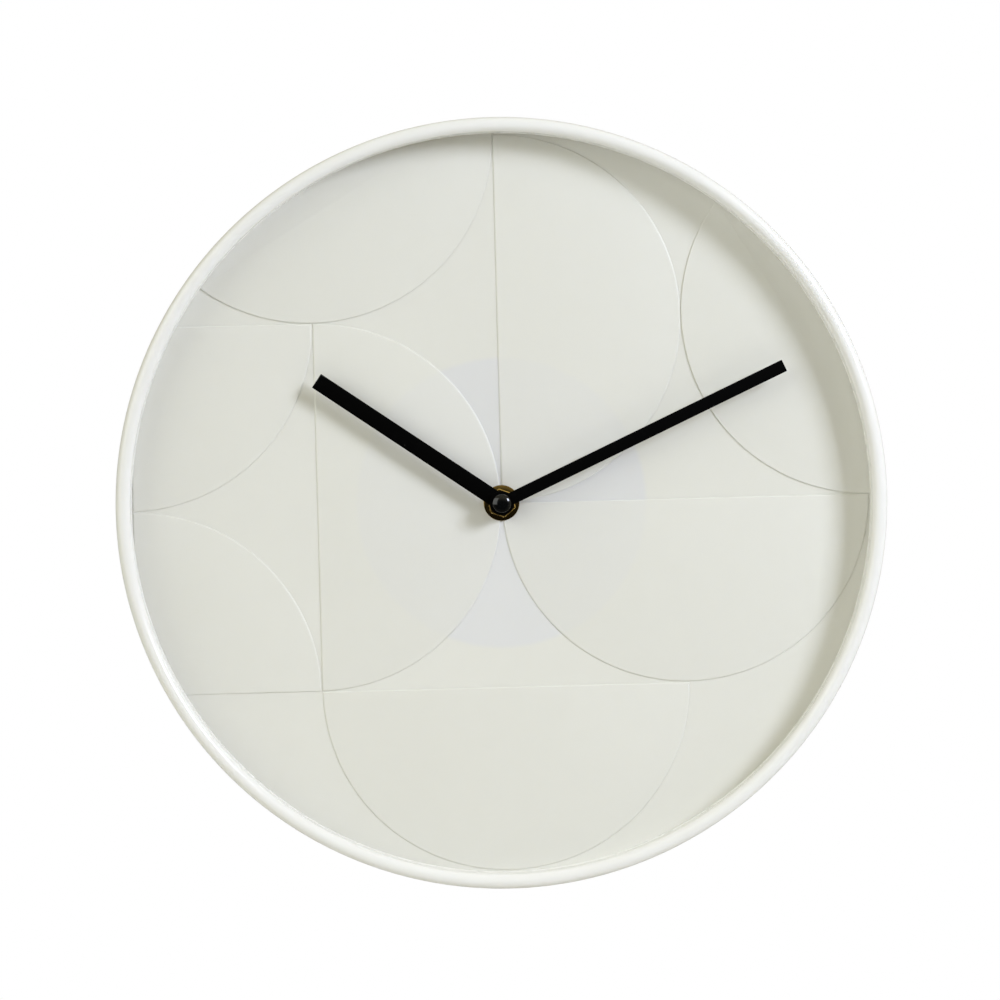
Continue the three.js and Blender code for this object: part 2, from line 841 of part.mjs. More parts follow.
function motionWorkWheel() {
  const wheel = gear(motionTeeth, motionModule, motionPhase, motionPlane, motionPlane + wheelThickness);
  const pinion = gear(motionPinionTeeth, hourModule, 0, hourPlane - seat / 2, hourPlane + wheelThickness);
  const shaft = arbor(wheelArborDiameter / 2, motionPlane - seat / 2, chamberFront - seat / 2);
  return shifted(joined(wheel, pinion, shaft), motionPlace);
}

// The knob behind the rear cover, with the arbor and pinion that turn the motion work.
function settingKnob() {
  const knobFront = movementRear - seat;
  const knob = ring(0, knobDiameter / 2, knobFront - knobThickness, knobFront, 24);
  const pinion = gear(settingTeeth, motionModule, settingPhase, motionPlane, motionPlane + wheelThickness);
  const shaft = arbor(knobArborDiameter / 2, knobFront - bite, motionPlane + bite);
  return shifted(joined(knob, shaft, pinion), settingPlace);
}

// ---------------------------------------------------------------- materials and assembly

function finish(color, roughness, metalness = 0) {
  return new THREE.MeshStandardMaterial({ color, roughness, metalness });
}

const finishes = {
  casePlastic: finish(0xe9e7df, 0.42),
  dialPlastic: finish(0xdcdbd0, 0.6),
  blackPaint: finish(0x0c0c0d, 0.5),
  glossBlack: finish(0x08080a, 0.12),
  brass: finish(0xb9933f, 0.3, 1),
  steel: finish(0xb4b6b8, 0.35, 1),
  rubber: finish(0x1c1c1c, 0.85),
  foam: finish(0xd8d8d4, 0.9),
  backPlastic: finish(0xd9d7ce, 0.55),
  movementPlastic: finish(0x17181a, 0.55),
  cellSleeve: finish(0x3d5a48, 0.3),
  board: finish(0x2f6b3a, 0.5),
  copper: finish(0xb5642e, 0.35, 1),
  whiteNylon: finish(0xe6e4da, 0.5),
};

const clock = new THREE.Group();
clock.position.z = -hookDrop;

function add(name, geometry, material) {
  const mesh = new THREE.Mesh(geometry, material);
  mesh.name = name;
  clock.add(mesh);
}

add("case_ring", caseRing(), finishes.casePlastic);
add("dial_plate", dialPlate(), finishes.dialPlastic);
add("dial_foam_ring", foamRing(), finishes.foam);
add("back_pan", backPan(), finishes.backPlastic);
screwPlaces().forEach((place, index) => {
  add(`pan_screw_${index + 1}`, shifted(panScrew(), place), finishes.steel);
});

add("threaded_bush", threadedBush(), finishes.brass);
add("rubber_washer", rubberWasher(), finishes.rubber);
add("brass_washer", brassWasher(), finishes.brass);
add("hex_nut", hexNut(), finishes.brass);

const minuteHand = hand(minuteLength, minuteWidth, minuteAngle, minuteHandRear, minuteArborDiameter);
const hourHand = hand(hourLength, hourWidth, hourAngle, hourHandRear, hourPipeDiameter);
add("minute_hand", minuteHand, finishes.blackPaint);
add("hour_hand", hourHand, finishes.blackPaint);
add("centre_cap", centreCap(), finishes.glossBlack);

add("front_housing", frontHousing(), finishes.movementPlastic);
add("rear_cover", rearCover(), finishes.movementPlastic);
add("battery", battery(), finishes.cellSleeve);
add("positive_contact", positiveContact(), finishes.steel);
add("negative_contact", negativeContact(), finishes.steel);

add("stator", stator(), finishes.steel);
add("coil_core", coilCore(), finishes.steel);
add("coil_bobbin", coilBobbin(), finishes.whiteNylon);
add("coil_winding", coilWinding(), finishes.copper);
add("circuit_board", circuitBoard(), finishes.board);
add("quartz_crystal", quartzCrystal(), finishes.steel);

add("rotor_pinion", rotorPinion(), finishes.whiteNylon);
add("rotor_magnet", rotorMagnet(), finishes.steel);
add("intermediate_wheel", intermediateWheel(), finishes.whiteNylon);
add("seconds_wheel", secondsWheel(), finishes.whiteNylon);
add("third_wheel", thirdWheel(), finishes.whiteNylon);
add("centre_wheel", centreWheel(), finishes.whiteNylon);
add("cannon_arbor", cannonArbor(), finishes.brass);
add("motion_work_wheel", motionWorkWheel(), finishes.whiteNylon);
add("hour_wheel", hourWheel(), finishes.whiteNylon);
add("setting_knob", settingKnob(), finishes.whiteNylon);

const wallClock = new THREE.Group();
wallClock.add(clock);

export default wallClock;
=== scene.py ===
"""A round wall clock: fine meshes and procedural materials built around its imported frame."""

import json
import math

import bmesh
import bpy
from bpy.props import FloatProperty, FloatVectorProperty, IntProperty, PointerProperty
from mathutils import Euler, Matrix, Vector


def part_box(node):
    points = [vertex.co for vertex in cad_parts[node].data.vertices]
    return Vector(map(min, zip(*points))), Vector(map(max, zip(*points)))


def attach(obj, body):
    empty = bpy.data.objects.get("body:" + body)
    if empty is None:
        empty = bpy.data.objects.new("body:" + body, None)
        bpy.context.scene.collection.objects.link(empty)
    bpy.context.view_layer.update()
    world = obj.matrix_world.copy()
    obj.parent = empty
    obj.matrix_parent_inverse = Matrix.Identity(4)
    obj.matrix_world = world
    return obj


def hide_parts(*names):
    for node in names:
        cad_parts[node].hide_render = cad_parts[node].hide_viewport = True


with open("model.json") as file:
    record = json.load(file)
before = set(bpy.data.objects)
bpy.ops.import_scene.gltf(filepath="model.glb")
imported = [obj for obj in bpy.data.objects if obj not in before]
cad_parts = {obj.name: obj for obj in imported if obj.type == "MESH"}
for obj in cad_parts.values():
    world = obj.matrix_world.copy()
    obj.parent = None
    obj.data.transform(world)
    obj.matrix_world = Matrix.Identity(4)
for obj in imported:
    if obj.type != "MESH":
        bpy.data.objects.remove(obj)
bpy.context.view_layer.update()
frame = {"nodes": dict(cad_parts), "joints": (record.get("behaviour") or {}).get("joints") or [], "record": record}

bl_info = {
    "name": "Relief Dial Wall Clock",
    "version": (1, 0, 0),
    "blender": (4, 5, 0),
    "location": "3D View > Sidebar > Wall Clock",
    "description": "Builds a round wall clock with a raised panel dial around its frame",
    "category": "Add Mesh",
}

# ------------------------------------------------------------------ the frame's sizes
# Shapes are worked out in millimetres as (across, depth in front of the wall, height above the
# arbor). Meshes and materials are in metres, in the frame's own axes.

MM = 0.001
BODY_OF = {
    node: body
    for body, nodes in frame["record"]["behaviour"]["bodies"].items()
    for node in nodes
}
JOINT_AT = {joint["child"]: Vector(joint["pos_m"]) for joint in frame["joints"]}
ARBOR = JOINT_AT["minute"]


def depths(node):
    """Rear and front depth of a CAD node."""
    low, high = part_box(node)
    return -high.y / MM, -low.y / MM


def radius_of(node):
    """Half the width of a CAD node."""
    low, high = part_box(node)
    return (high.x - low.x) / 2 / MM


def spot_of(body):
    """Where a wheel's joint lies across the dial, from the arbor."""
    offset = JOINT_AT[body] - ARBOR
    return offset.x / MM, offset.z / MM


def edges_of(node):
    """A CAD node's left, right, bottom and top, seen from the front."""
    low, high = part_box(node)
    return low.x / MM, high.x / MM, (low.z - ARBOR.z) / MM, (high.z - ARBOR.z) / MM


def centre_of(node):
    """A CAD node's centre as (across, depth, height)."""
    low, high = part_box(node)
    middle = (low + high) / 2
    return middle.x / MM, -middle.y / MM, (middle.z - ARBOR.z) / MM


CASE_RADIUS = radius_of("case_ring")
CASE_REAR, CASE_FRONT = depths("case_ring")
DIAL_RADIUS = radius_of("dial_plate")
DIAL_REAR, RELIEF_FACE = depths("dial_plate")
FOAM_REAR = depths("dial_foam_ring")[0]
PAN_RADIUS = radius_of("back_pan")
PAN_REAR, WELL_FRONT = depths("back_pan")
SCREWS = [name for name in sorted(frame["nodes"]) if name.startswith("pan_screw_")]

DROP_IN_GAP = 0.3
SEAT_GAP = 0.2
SUNK = 0.2  # how deep a raised detail starts in the face that carries it
LIP_INNER = DIAL_RADIUS + DROP_IN_GAP
LIP_RADIUS = (CASE_RADIUS - LIP_INNER) / 2
SNUG_RADIUS = LIP_INNER + 0.02  # a dial that touches the wall all round
PANEL_REACH = SNUG_RADIUS + 0.4  # the panels' soft edges end inside the wall
WALL_INNER = PAN_RADIUS + DROP_IN_GAP
WELL_RADIUS = 56.5
WELL_WALL = 1.8
ARBOR_HOLE = 4.3  # the hole for the bush in the housing, the dial and the washers
ROUND_SIDES = 288  # sides of the case ring's and the dial's circles
CUT_PAST = 5.0  # how far a cutter runs past what it cuts
CUT_REAR, CUT_FRONT = -CUT_PAST, 15.0  # a cutter through the pan or the cover


# ------------------------------------------------------------------ outlines


def arc(centre, radius, start, end, steps):
    """Points on an arc; angles in degrees, anticlockwise from across."""
    points = []
    for step in range(steps + 1):
        angle = math.radians(start + (end - start) * step / steps)
        points.append((centre[0] + radius * math.cos(angle), centre[1] + radius * math.sin(angle)))
    return points


def rounded(corners, steps=4):
    """A loop of (a, b, radius) corners with each corner turned into an arc."""
    path = []
    for index, (a, b, radius) in enumerate(corners):
        here = Vector((a, b))
        if radius == 0:
            path.append((a, b))
            continue
        before = (Vector(corners[index - 1][:2]) - here).normalized()
        after = (Vector(corners[(index + 1) % len(corners)][:2]) - here).normalized()
        half = before.angle(after) / 2
        centre = here + (before + after).normalized() * radius / math.sin(half)
        first = here + before * radius / math.tan(half) - centre
        last = here + after * radius / math.tan(half) - centre
        start = math.atan2(first.y, first.x)
        sweep = math.remainder(math.atan2(last.y, last.x) - start, 2 * math.pi)
        for step in range(steps + 1):
            angle = start + sweep * step / steps
            path.append((centre.x + radius * math.cos(angle), centre.y + radius * math.sin(angle)))
    return path


def box_outline(left, bottom, right, top, radius=0.0, steps=4):
    corners = [(left, bottom), (right, bottom), (right, top), (left, top)]
    return rounded([(a, b, radius) for a, b in corners], steps)


def clipped(outline, reach):
    """A convex outline cut by a circle of that reach about the arbor."""
    sides = 360
    for side in range(sides):
        angle = 2 * math.pi * (side + 0.5) / sides
        normal = Vector((math.cos(angle), math.sin(angle)))
        kept = []
        for index, point in enumerate(outline):
            here, before = Vector(point), Vector(outline[index - 1])
            inside, was_inside = reach - here.dot(normal), reach - before.dot(normal)
            if inside * was_inside < 0:
                kept.append(tuple(before.lerp(here, was_inside / (was_inside - inside))))
            if inside >= 0:
                kept.append(point)
        outline = kept
    return outline


# ------------------------------------------------------------------ forms


class Form:
    """A mesh being shaped, in millimetres as (across, depth, height)."""

    def __init__(self):
        self.bm = bmesh.new()

    def _band(self, first, second):
        """Joins two rings of vertices; a ring of one is a point on the axis."""
        count = max(len(first), len(second))
        for index in range(count):
            following = (index + 1) % count
            corners = [
                first[index % len(first)],
                first[following % len(first)],
                second[following % len(second)],
                second[index % len(second)],
            ]
            self.bm.faces.new(list(dict.fromkeys(corners)))

    def turned(self, profile, segments=96, centre=(0.0, 0.0, 0.0), along="depth"):
        """Turns a profile of (radius, distance) about an axis along the depth or across.

        The profile is a list, or a function that gives the list at an angle. It is a loop, unless
        it starts on the axis: then both its ends are on the axis.
        """
        section = profile if callable(profile) else lambda angle: profile
        angles = [2 * math.pi * index / segments for index in range(segments)]
        sections = [section(angle) for angle in angles]
        rings = []
        for level in range(len(sections[0])):
            ring = []
            for angle, points in zip(angles, sections):
                radius, distance = points[level]
                sine, cosine = radius * math.sin(angle), radius * math.cos(angle)
                offset = (cosine, distance, sine) if along == "depth" else (distance, cosine, sine)
                ring.append(tuple(c + o for c, o in zip(centre, offset)))
            if sections[0][level][0] == 0:
                ring = ring[:1]
            rings.append([self.bm.verts.new(place) for place in ring])
        for first, second in zip(rings, rings[1:]):
            self._band(first, second)
        if len(rings[0]) > 1:
            self._band(rings[-1], rings[0])
        return self

    def ring(self, inner, outer, rear, front, soft=0.0, segments=96, centre=(0.0, 0.0)):
        """A turned ring, or a disc where the inner radius is 0, with softened edges."""
        place = (centre[0], 0.0, centre[1])
        if inner > 0:
            corners = [(inner, rear), (outer, rear), (outer, front), (inner, front)]
            return self.turned(rounded([(r, d, soft) for r, d in corners]), segments, place)
        corners = [(0, rear, 0), (outer, rear, soft), (outer, front, soft), (0, front, 0)]
        return self.turned(rounded(corners), segments, place)

    def prism(self, outline, rear, front, soft_front=0.0, soft_rear=0.0, steps=3):
        """An outline pushed from one depth to another, with its edges rounded off."""
        levels = [
            [self.bm.verts.new((across, depth, height)) for across, height in outline]
            for depth in (rear, front)
        ]
        self._band(*levels)
        caps = [self.bm.faces.new(level) for level in levels]
        for cap, soft in zip(caps, (soft_rear, soft_front)):
            if soft > 0:
                bmesh.ops.recalc_face_normals(self.bm, faces=self.bm.faces)
                self._round_off(list(cap.edges), soft, steps)
        return self

    def _round_off(self, edges, radius, steps):
        bmesh.ops.bevel(
            self.bm,
            geom=edges,
            offset=radius,
            offset_type="OFFSET",
            segments=steps,
            profile=0.5,
            affect="EDGES",
            clamp_overlap=True,
        )

    def tube(self, path, radius, sides=10):
        """A round bar along a path of (across, depth, height) points, with flat ends."""
        points = [Vector(point) for point in path]
        rings = []
        guide = Vector((0.31, 0.47, 0.83))  # any direction that isn't along the path
        for index, point in enumerate(points):
            ahead = points[min(index + 1, len(points) - 1)] - points[max(index - 1, 0)]
            guide = (guide - ahead.normalized() * guide.dot(ahead.normalized())).normalized()
            side = ahead.normalized().cross(guide)
            rings.append(
                [
                    self.bm.verts.new(
                        point
                        + guide * radius * math.cos(2 * math.pi * turn / sides)
                        + side * radius * math.sin(2 * math.pi * turn / sides)
                    )
                    for turn in range(sides)
                ]
            )
        for first, second in zip(rings, rings[1:]):
            self._band(first, second)
        self.bm.faces.new(rings[0])
        self.bm.faces.new(rings[-1])
        return self

    def moved(self, offset=(0.0, 0.0, 0.0), turn=0.0):
        """Turns the form about the arbor, clockwise as seen from the front, then shifts it."""
        matrix = Matrix.Translation(offset) @ Matrix.Rotation(turn, 4, "Y")
        bmesh.ops.transform(self.bm, matrix=matrix, verts=self.bm.verts)
        return self

    def joined(self, other):
        """Takes up another form, which is used up."""
        mesh = bpy.data.meshes.new("joined")
        other.bm.to_mesh(mesh)
        other.bm.free()
        self.bm.from_mesh(mesh)
        bpy.data.meshes.remove(mesh)
        return self

    def cut_by(self, other):
        """What is left of this form outside another; both are used up."""
        objects = []
        for form in (self, other):
            bmesh.ops.recalc_face_normals(form.bm, faces=form.bm.faces)
            mesh = bpy.data.meshes.new("scratch")
            form.bm.to_mesh(mesh)
            scratch = bpy.data.objects.new("scratch", mesh)
            bpy.context.scene.collection.objects.link(scratch)
            objects.append(scratch)
        modifier = objects[0].modifiers.new("cut", "BOOLEAN")
        modifier.object = objects[1]
        modifier.operation = "DIFFERENCE"
        modifier.solver = "EXACT"
        evaluated = objects[0].evaluated_get(bpy.context.evaluated_depsgraph_get())
        result = Form()
        result.bm.from_mesh(evaluated.to_mesh())
        evaluated.to_mesh_clear()
        for scratch in objects:
            mesh = scratch.data
            bpy.data.objects.remove(scratch)
            bpy.data.meshes.remove(mesh)
        self.bm.free()
        other.bm.free()
        return result

    def softened(self, radius, over=40.0):
        """Rounds every edge that is sharper than an angle in degrees."""
        bmesh.ops.recalc_face_normals(self.bm, faces=self.bm.faces)
        edges = [
            edge
            for edge in self.bm.edges
            if len(edge.link_faces) == 2 and edge.calc_face_angle(0.0) > math.radians(over)
        ]
        self._round_off(edges, radius, 2)
        return self

    def piece(self, name, material, nodes, sharp=32.0):
        """Puts the form in the frame as a piece that stands for those CAD nodes."""
        bmesh.ops.remove_doubles(self.bm, verts=self.bm.verts, dist=0.0005)
        for vertex in self.bm.verts:
            across, depth, height = vertex.co
            vertex.co = (across * MM, -depth * MM, height * MM + ARBOR.z)
        bmesh.ops.recalc_face_normals(self.bm, faces=self.bm.faces)
        mesh = bpy.data.meshes.new(name)
        self.bm.to_mesh(mesh)
        self.bm.free()
        mesh.materials.append(material)
        mesh.polygons.foreach_set("use_smooth", [True] * len(mesh.polygons))
        mesh.set_sharp_from_angle(angle=math.radians(sharp))
        made = bpy.data.objects.new(name, mesh)
        bpy.context.scene.collection.objects.link(made)
        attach(made, BODY_OF[nodes[0]])
        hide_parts(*nodes)
        return made


# ------------------------------------------------------------------ shader writing


class Wire:
    """A value inside a node tree that Python's operators work on."""

    def __init__(self, paint, socket):
        self.paint = paint
        self.socket = socket

    def _math(self, operation, first, second=0.0):
        return self.paint.node("ShaderNodeMath", {"operation": operation}, {0: first, 1: second})

    def __add__(self, other):
        return self._math("ADD", self, other)

    def __sub__(self, other):
        return self._math("SUBTRACT", self, other)

    def __rsub__(self, other):
        return self._math("SUBTRACT", other, self)

    def __mul__(self, other):
        return self._math("MULTIPLY", self, other)

    def __pow__(self, other):
        return self._math("POWER", self, other)

    def __gt__(self, other):
        return self._math("GREATER_THAN", self, other)

    __radd__ = __add__
    __rmul__ = __mul__


class Paint:
    """A node tree being written, on coordinates in metres."""

    def __init__(self, owner):
        owner.use_nodes = True
        self.owner = owner
        self.tree = owner.node_tree
        self.tree.nodes.clear()

    def node(self, kind, settings=None, inputs=None, output=0):
        """Adds a node; output is a socket's name or number, or a tuple of them."""
        made = self.tree.nodes.new(kind)
        for name, value in (settings or {}).items():
            setattr(made, name, value)
        for name, value in (inputs or {}).items():
            if isinstance(value, Wire):
                self.tree.links.new(value.socket, made.inputs[name])
            else:
                made.inputs[name].default_value = value
        if isinstance(output, tuple):
            return [Wire(self, made.outputs[each]) for each in output]
        return Wire(self, made.outputs[output]) if made.outputs else None

    def place(self):
        return self.node("ShaderNodeTexCoord", output="Object")

    def stretched(self, scale):
        """The place with each of its directions scaled by its own amount."""
        inputs = {0: self.place(), 1: scale}
        return self.node("ShaderNodeVectorMath", {"operation": "MULTIPLY"}, inputs)

    def coordinates(self, vector=None):
        inputs = {0: vector or self.place()}
        return self.node("ShaderNodeSeparateXYZ", inputs=inputs, output=(0, 1, 2))

    def from_arbor(self):
        """Distance from the arbor's axis."""
        x, _, z = self.coordinates()
        x, z = x - ARBOR.x, z - ARBOR.z
        return (x * x + z * z) ** 0.5

    def noise(self, size, detail, vector=None, roughness=0.5):
        """Soft noise from 0 to 1, with features of that size in millimetres."""
        inputs = {
            "Vector": vector or self.place(),
            "Scale": 1.0 / (size * MM),
            "Detail": detail,
            "Roughness": roughness,
        }
        return self.node("ShaderNodeTexNoise", inputs=inputs)

    def cells(self, size, feature="F1"):
        """Distance to the nearest of scattered points, in cells of that size in millimetres."""
        inputs = {"Vector": self.place(), "Scale": 1.0 / (size * MM)}
        return self.node("ShaderNodeTexVoronoi", {"feature": feature}, inputs)

    def step(self, value, low, high):
        """0 below low, 1 above high and smooth between; low may be the greater."""
        inputs = {"Value": value, "From Min": low, "From Max": high}
        return self.node("ShaderNodeMapRange", {"interpolation_type": "SMOOTHSTEP"}, inputs)

    def mix(self, factor, first, second):
        """Blends two colours."""
        inputs = {0: factor, 6: solid(first), 7: solid(second)}
        return self.node("ShaderNodeMix", {"data_type": "RGBA"}, inputs, output=2)

    def bump(self, height, distance):
        """A normal from a height of 0 to 1, where 1 stands out by a distance in millimetres."""
        inputs = {"Strength": 1.0, "Distance": distance * MM, "Height": height}
        return self.node("ShaderNodeBump", inputs=inputs, output="Normal")

    def surface(self, **inputs):
        """Ends a material with its shader. Names are the shader's sockets with underscores."""
        named = {name.replace("_", " "): value for name, value in inputs.items()}
        shader = self.node("ShaderNodeBsdfPrincipled", inputs=named)
        self.node("ShaderNodeOutputMaterial", inputs={"Surface": shader})
        return self.owner


def solid(colour):
    """A colour with its alpha, or a wire as it is."""
    return colour if isinstance(colour, Wire) else (*colour[:3], 1.0)


def shaded(colour, factor):
    """A colour made lighter or darker."""
    return tuple(min(1.0, channel * factor) for channel in colour[:3])


def new_paint(name, slot):
    material = bpy.data.materials.new(name)
    material["slot"] = slot
    return Paint(material)


# ------------------------------------------------------------------ materials


def satin_case_plastic(colour, roughness):
    """Moulded plastic with a soft orange peel, a polished crest, and dust with painted shade in the corner where
    it meets the dial.
    """
    paint = new_paint("satin case plastic", "case_plastic")
    _, y, _ = paint.coordinates()
    cloud = paint.noise(38.0, 3.0)
    peel = paint.noise(1.6, 2.0)
    grain = paint.noise(0.22, 2.0)
    crest = paint.step(y, -(CASE_FRONT - 2.2) * MM, -(CASE_FRONT - 0.2) * MM)
    corner = paint.step(y, -(CASE_FRONT - 9.0) * MM, -RELIEF_FACE * MM)
    radial = paint.from_arbor()
    inside = paint.step(radial, (LIP_INNER + 0.6) * MM, (LIP_INNER + 0.1) * MM)
    # Painted shade: patches of darker colour in the corner between the inner wall and the dial stand in for the
    # shade there. The same mask also carries dust, which roughens the surface.
    dust = corner * inside * paint.step(paint.noise(5.0, 4.0), 0.42, 0.68)
    fleck = paint.step(paint.cells(3.4), 0.035, 0.02)
    base = paint.mix(cloud, shaded(colour, 0.975), colour)
    base = paint.mix(dust * 0.15, base, shaded(colour, 0.8))
    base = paint.mix(fleck * 0.25, base, shaded(colour, 0.86))
    rough = roughness + cloud * 0.05 + grain * 0.05 - crest * 0.05 + dust * 0.2
    height = peel * 0.7 + grain * 0.3
    return paint.surface(
        Base_Color=base,
        Roughness=rough,
        Normal=paint.bump(height, 0.012),
        IOR=1.49,
        Subsurface_Weight=0.06,
        Subsurface_Radius=(1.0, 0.85, 0.6),
        Subsurface_Scale=1.2 * MM,
    )


def matt_dial_plastic(colour, painted_well_light, roughness):
    """Fine matt moulding, with painted light: a little cooler where the well behind lets light through."""
    paint = new_paint("matt dial plastic", "dial_plastic")
    _, y, _ = paint.coordinates()
    cloud = paint.noise(55.0, 3.0)
    mottle = paint.noise(7.0, 4.0)
    grain = paint.noise(0.3, 3.0, roughness=0.65)
    radial = paint.from_arbor()
    # Painted light: over the well, and most where the dial is thin between the panels, the colour goes to the
    # painted well light, as if light came through from behind.
    well = paint.step(radial, (WELL_RADIUS + 1.4) * MM, (WELL_RADIUS - 1.2) * MM)
    thin = paint.step(y, -(RELIEF_FACE - 0.1) * MM, -(RELIEF_FACE - 0.4) * MM)
    through = well * (0.3 + thin * 0.7)
    # Painted shade: the dial darkens, mottled, in a band along the wall where shade falls in the corner.
    edge = paint.step(radial, (DIAL_RADIUS - 3.5) * MM, DIAL_RADIUS * MM)
    fleck = paint.step(paint.cells(2.6), 0.04, 0.02)
    base = paint.mix(cloud * 0.6 + mottle * 0.4, shaded(colour, 0.975), shaded(colour, 1.01))
    base = paint.mix(through, base, painted_well_light)
    base = paint.mix(edge * mottle * 0.12, base, shaded(colour, 0.82))
    base = paint.mix(fleck * 0.18, base, shaded(colour, 0.8))
    rough = roughness + mottle * 0.06 + grain * 0.06
    return paint.surface(
        Base_Color=base,
        Roughness=rough,
        Normal=paint.bump(grain * 0.7 + mottle * 0.3, 0.01),
        IOR=1.49,
        Subsurface_Weight=0.08,
        Subsurface_Radius=(1.0, 0.9, 0.7),
        Subsurface_Scale=0.8 * MM,
    )


def hand_paint(colour, roughness):
    """Baked matt black paint with fine grain, rubbed edges and a few specks of dust."""
    paint = new_paint("matt black hand paint", "hand_black")
    grain = paint.noise(0.16, 3.0, roughness=0.7)
    cloud = paint.noise(9.0, 3.0)
    speck = paint.step(paint.cells(5.5), 0.028, 0.016)
    worn = paint.step(paint.noise(2.2, 4.0), 0.58, 0.72)
    base = paint.mix(grain, shaded(colour, 0.7), shaded(colour, 1.5))
    base = paint.mix(worn * 0.25, base, shaded(colour, 4.0))
    base = paint.mix(speck * 0.5, base, (0.16, 0.16, 0.15))
    return paint.surface(
        Base_Color=base,
        Roughness=roughness + grain * 0.12 + cloud * 0.05 + speck * 0.2,
        Normal=paint.bump(grain, 0.012),
        Specular_IOR_Level=0.025,
    )


def gloss_black_plastic(colour):
    """Polished black plastic with hairline marks and a trace of dust."""
    paint = new_paint("gloss black plastic", "cap_black")
    cloud = paint.noise(1.6, 3.0)
    hairline = paint.noise(0.5, 3.0, vector=paint.stretched((1.0, 1.0, 9.0)))
    speck = paint.step(paint.cells(0.9), 0.05, 0.03)
    base = paint.mix(cloud, colour, shaded(colour, 1.8))
    base = paint.mix(speck * 0.4, base, (0.12, 0.12, 0.12))
    return paint.surface(
        Base_Color=base,
        Roughness=0.08 + cloud * 0.05 + hairline * 0.04 + speck * 0.3,
        Normal=paint.bump(hairline, 0.0012),
    )


def turned_brass(name, colour, tarnish, roughness=0.12):
    """Brass with fine turning rings about the arbor, and brown tarnish."""
    paint = new_paint(name, "brass")
    radial = paint.from_arbor()
    _, y, _ = paint.coordinates()
    groove = paint.node("ShaderNodeCombineXYZ", inputs={0: radial, 1: y})
    rings = paint.noise(0.09, 3.0, vector=groove, roughness=0.6)
    stain = paint.noise(1.7, 4.0, roughness=0.6)
    dull = paint.step(stain, 0.4, 0.72)
    pit = paint.step(paint.cells(0.55), 0.09, 0.05)
    base = paint.mix(dull * 0.55 + rings * 0.15, colour, tarnish)
    base = paint.mix(pit * 0.4, base, shaded(tarnish, 0.6))
    return paint.surface(
        Base_Color=base,
        Metallic=1.0,
        Roughness=roughness + rings * 0.05 + dull * 0.1,
        Normal=paint.bump(rings, 0.0025),
    )


def plated_steel(name="zinc plated steel", colour=(0.62, 0.63, 0.65), roughness=0.26):
    """Zinc or nickel plate with a spangle, pits and dark marks."""
    paint = new_paint(name, "steel")
    spangle = paint.cells(1.3, "SMOOTH_F1")
    mark = paint.step(paint.noise(1.1, 4.0), 0.5, 0.75)
    grain = paint.noise(0.12, 2.0)
    base = paint.mix(spangle * 0.5, colour, shaded(colour, 0.82))
    base = paint.mix(mark * 0.5, base, shaded(colour, 0.6))
    return paint.surface(
        Base_Color=base,
        Metallic=1.0,
        Roughness=roughness + grain * 0.1 + mark * 0.14,
        Normal=paint.bump(grain, 0.003),
    )


def eroded_plastic(name, slot, colour, roughness, size=0.28, depth=0.03):
    """Moulded plastic with a spark-eroded texture and rubbed high spots."""
    paint = new_paint(name, slot)
    pits = paint.noise(size, 3.0, roughness=0.7)
    cells = paint.cells(size * 1.6)
    cloud = paint.noise(22.0, 4.0)
    rub = paint.step(paint.noise(6.0, 5.0, roughness=0.65), 0.56, 0.7)
    scuff = paint.step(
        paint.noise(0.8, 3.0, vector=paint.stretched((1.0, 1.0, 0.08))), 0.66, 0.74
    )
    base = paint.mix(cloud, shaded(colour, 0.93), shaded(colour, 1.05))
    base = paint.mix(rub * 0.22 + scuff * 0.12, base, shaded(colour, 1.45))
    return paint.surface(
        Base_Color=base,
        Roughness=roughness + pits * 0.1 - rub * 0.08 - scuff * 0.05,
        Normal=paint.bump(pits * 0.6 + cells * 0.4, depth),
    )


def cell_sleeve(left, right):
    """The printed sleeve of the cell: a dark body, a copper band at +X and bare metal ends."""
    paint = new_paint("battery sleeve", "cell_sleeve")
    x, _, _ = paint.coordinates()
    length = right - left
    band = x > left + length * 0.74
    line = (x > left + length * 0.72) * (1.0 - band)
    bare = paint.step(x, right - 1.9 * MM, right - 1.6 * MM)
    bare = bare + paint.step(x, left + 0.9 * MM, left + 0.6 * MM)
    scratch = paint.noise(0.5, 4.0, vector=paint.stretched((0.12, 1.0, 1.0)))
    scratch = paint.step(scratch, 0.62, 0.72)
    cloud = paint.noise(6.0, 3.0)
    base = paint.mix(cloud, (0.016, 0.02, 0.022), (0.024, 0.03, 0.032))
    base = paint.mix(band, base, (0.53, 0.24, 0.09))
    base = paint.mix(line, base, (0.62, 0.6, 0.54))
    base = paint.mix(scratch * 0.35, base, (0.3, 0.29, 0.27))
    base = paint.mix(bare, base, (0.58, 0.58, 0.57))
    return paint.surface(
        Base_Color=base,
        Metallic=band * 0.8 + bare * (1.0 - band * 0.8),
        Roughness=0.2 + scratch * 0.25 + cloud * 0.08,
        Normal=paint.bump(scratch + cloud * 0.3, 0.004),
        Coat_Weight=0.35,
        Coat_Roughness=0.12,
    )


def nylon(name, colour=(0.74, 0.72, 0.65)):
    """Milky moulded nylon with soft flow marks."""
    paint = new_paint(name, "nylon")
    flow = paint.noise(1.8, 4.0, vector=paint.stretched((1.0, 0.4, 1.0)))
    grain = paint.noise(0.14, 2.0)
    grime = paint.step(paint.noise(0.9, 3.0), 0.55, 0.75)
    base = paint.mix(flow, shaded(colour, 0.92), colour)
    base = paint.mix(grime * 0.18, base, shaded(colour, 0.6))
    return paint.surface(
        Base_Color=base,
        Roughness=0.4 + grain * 0.1 + grime * 0.1,
        Normal=paint.bump(grain * 0.5 + flow * 0.5, 0.006),
        Subsurface_Weight=0.2,
        Subsurface_Radius=(1.0, 0.9, 0.7),
        Subsurface_Scale=0.6 * MM,
    )


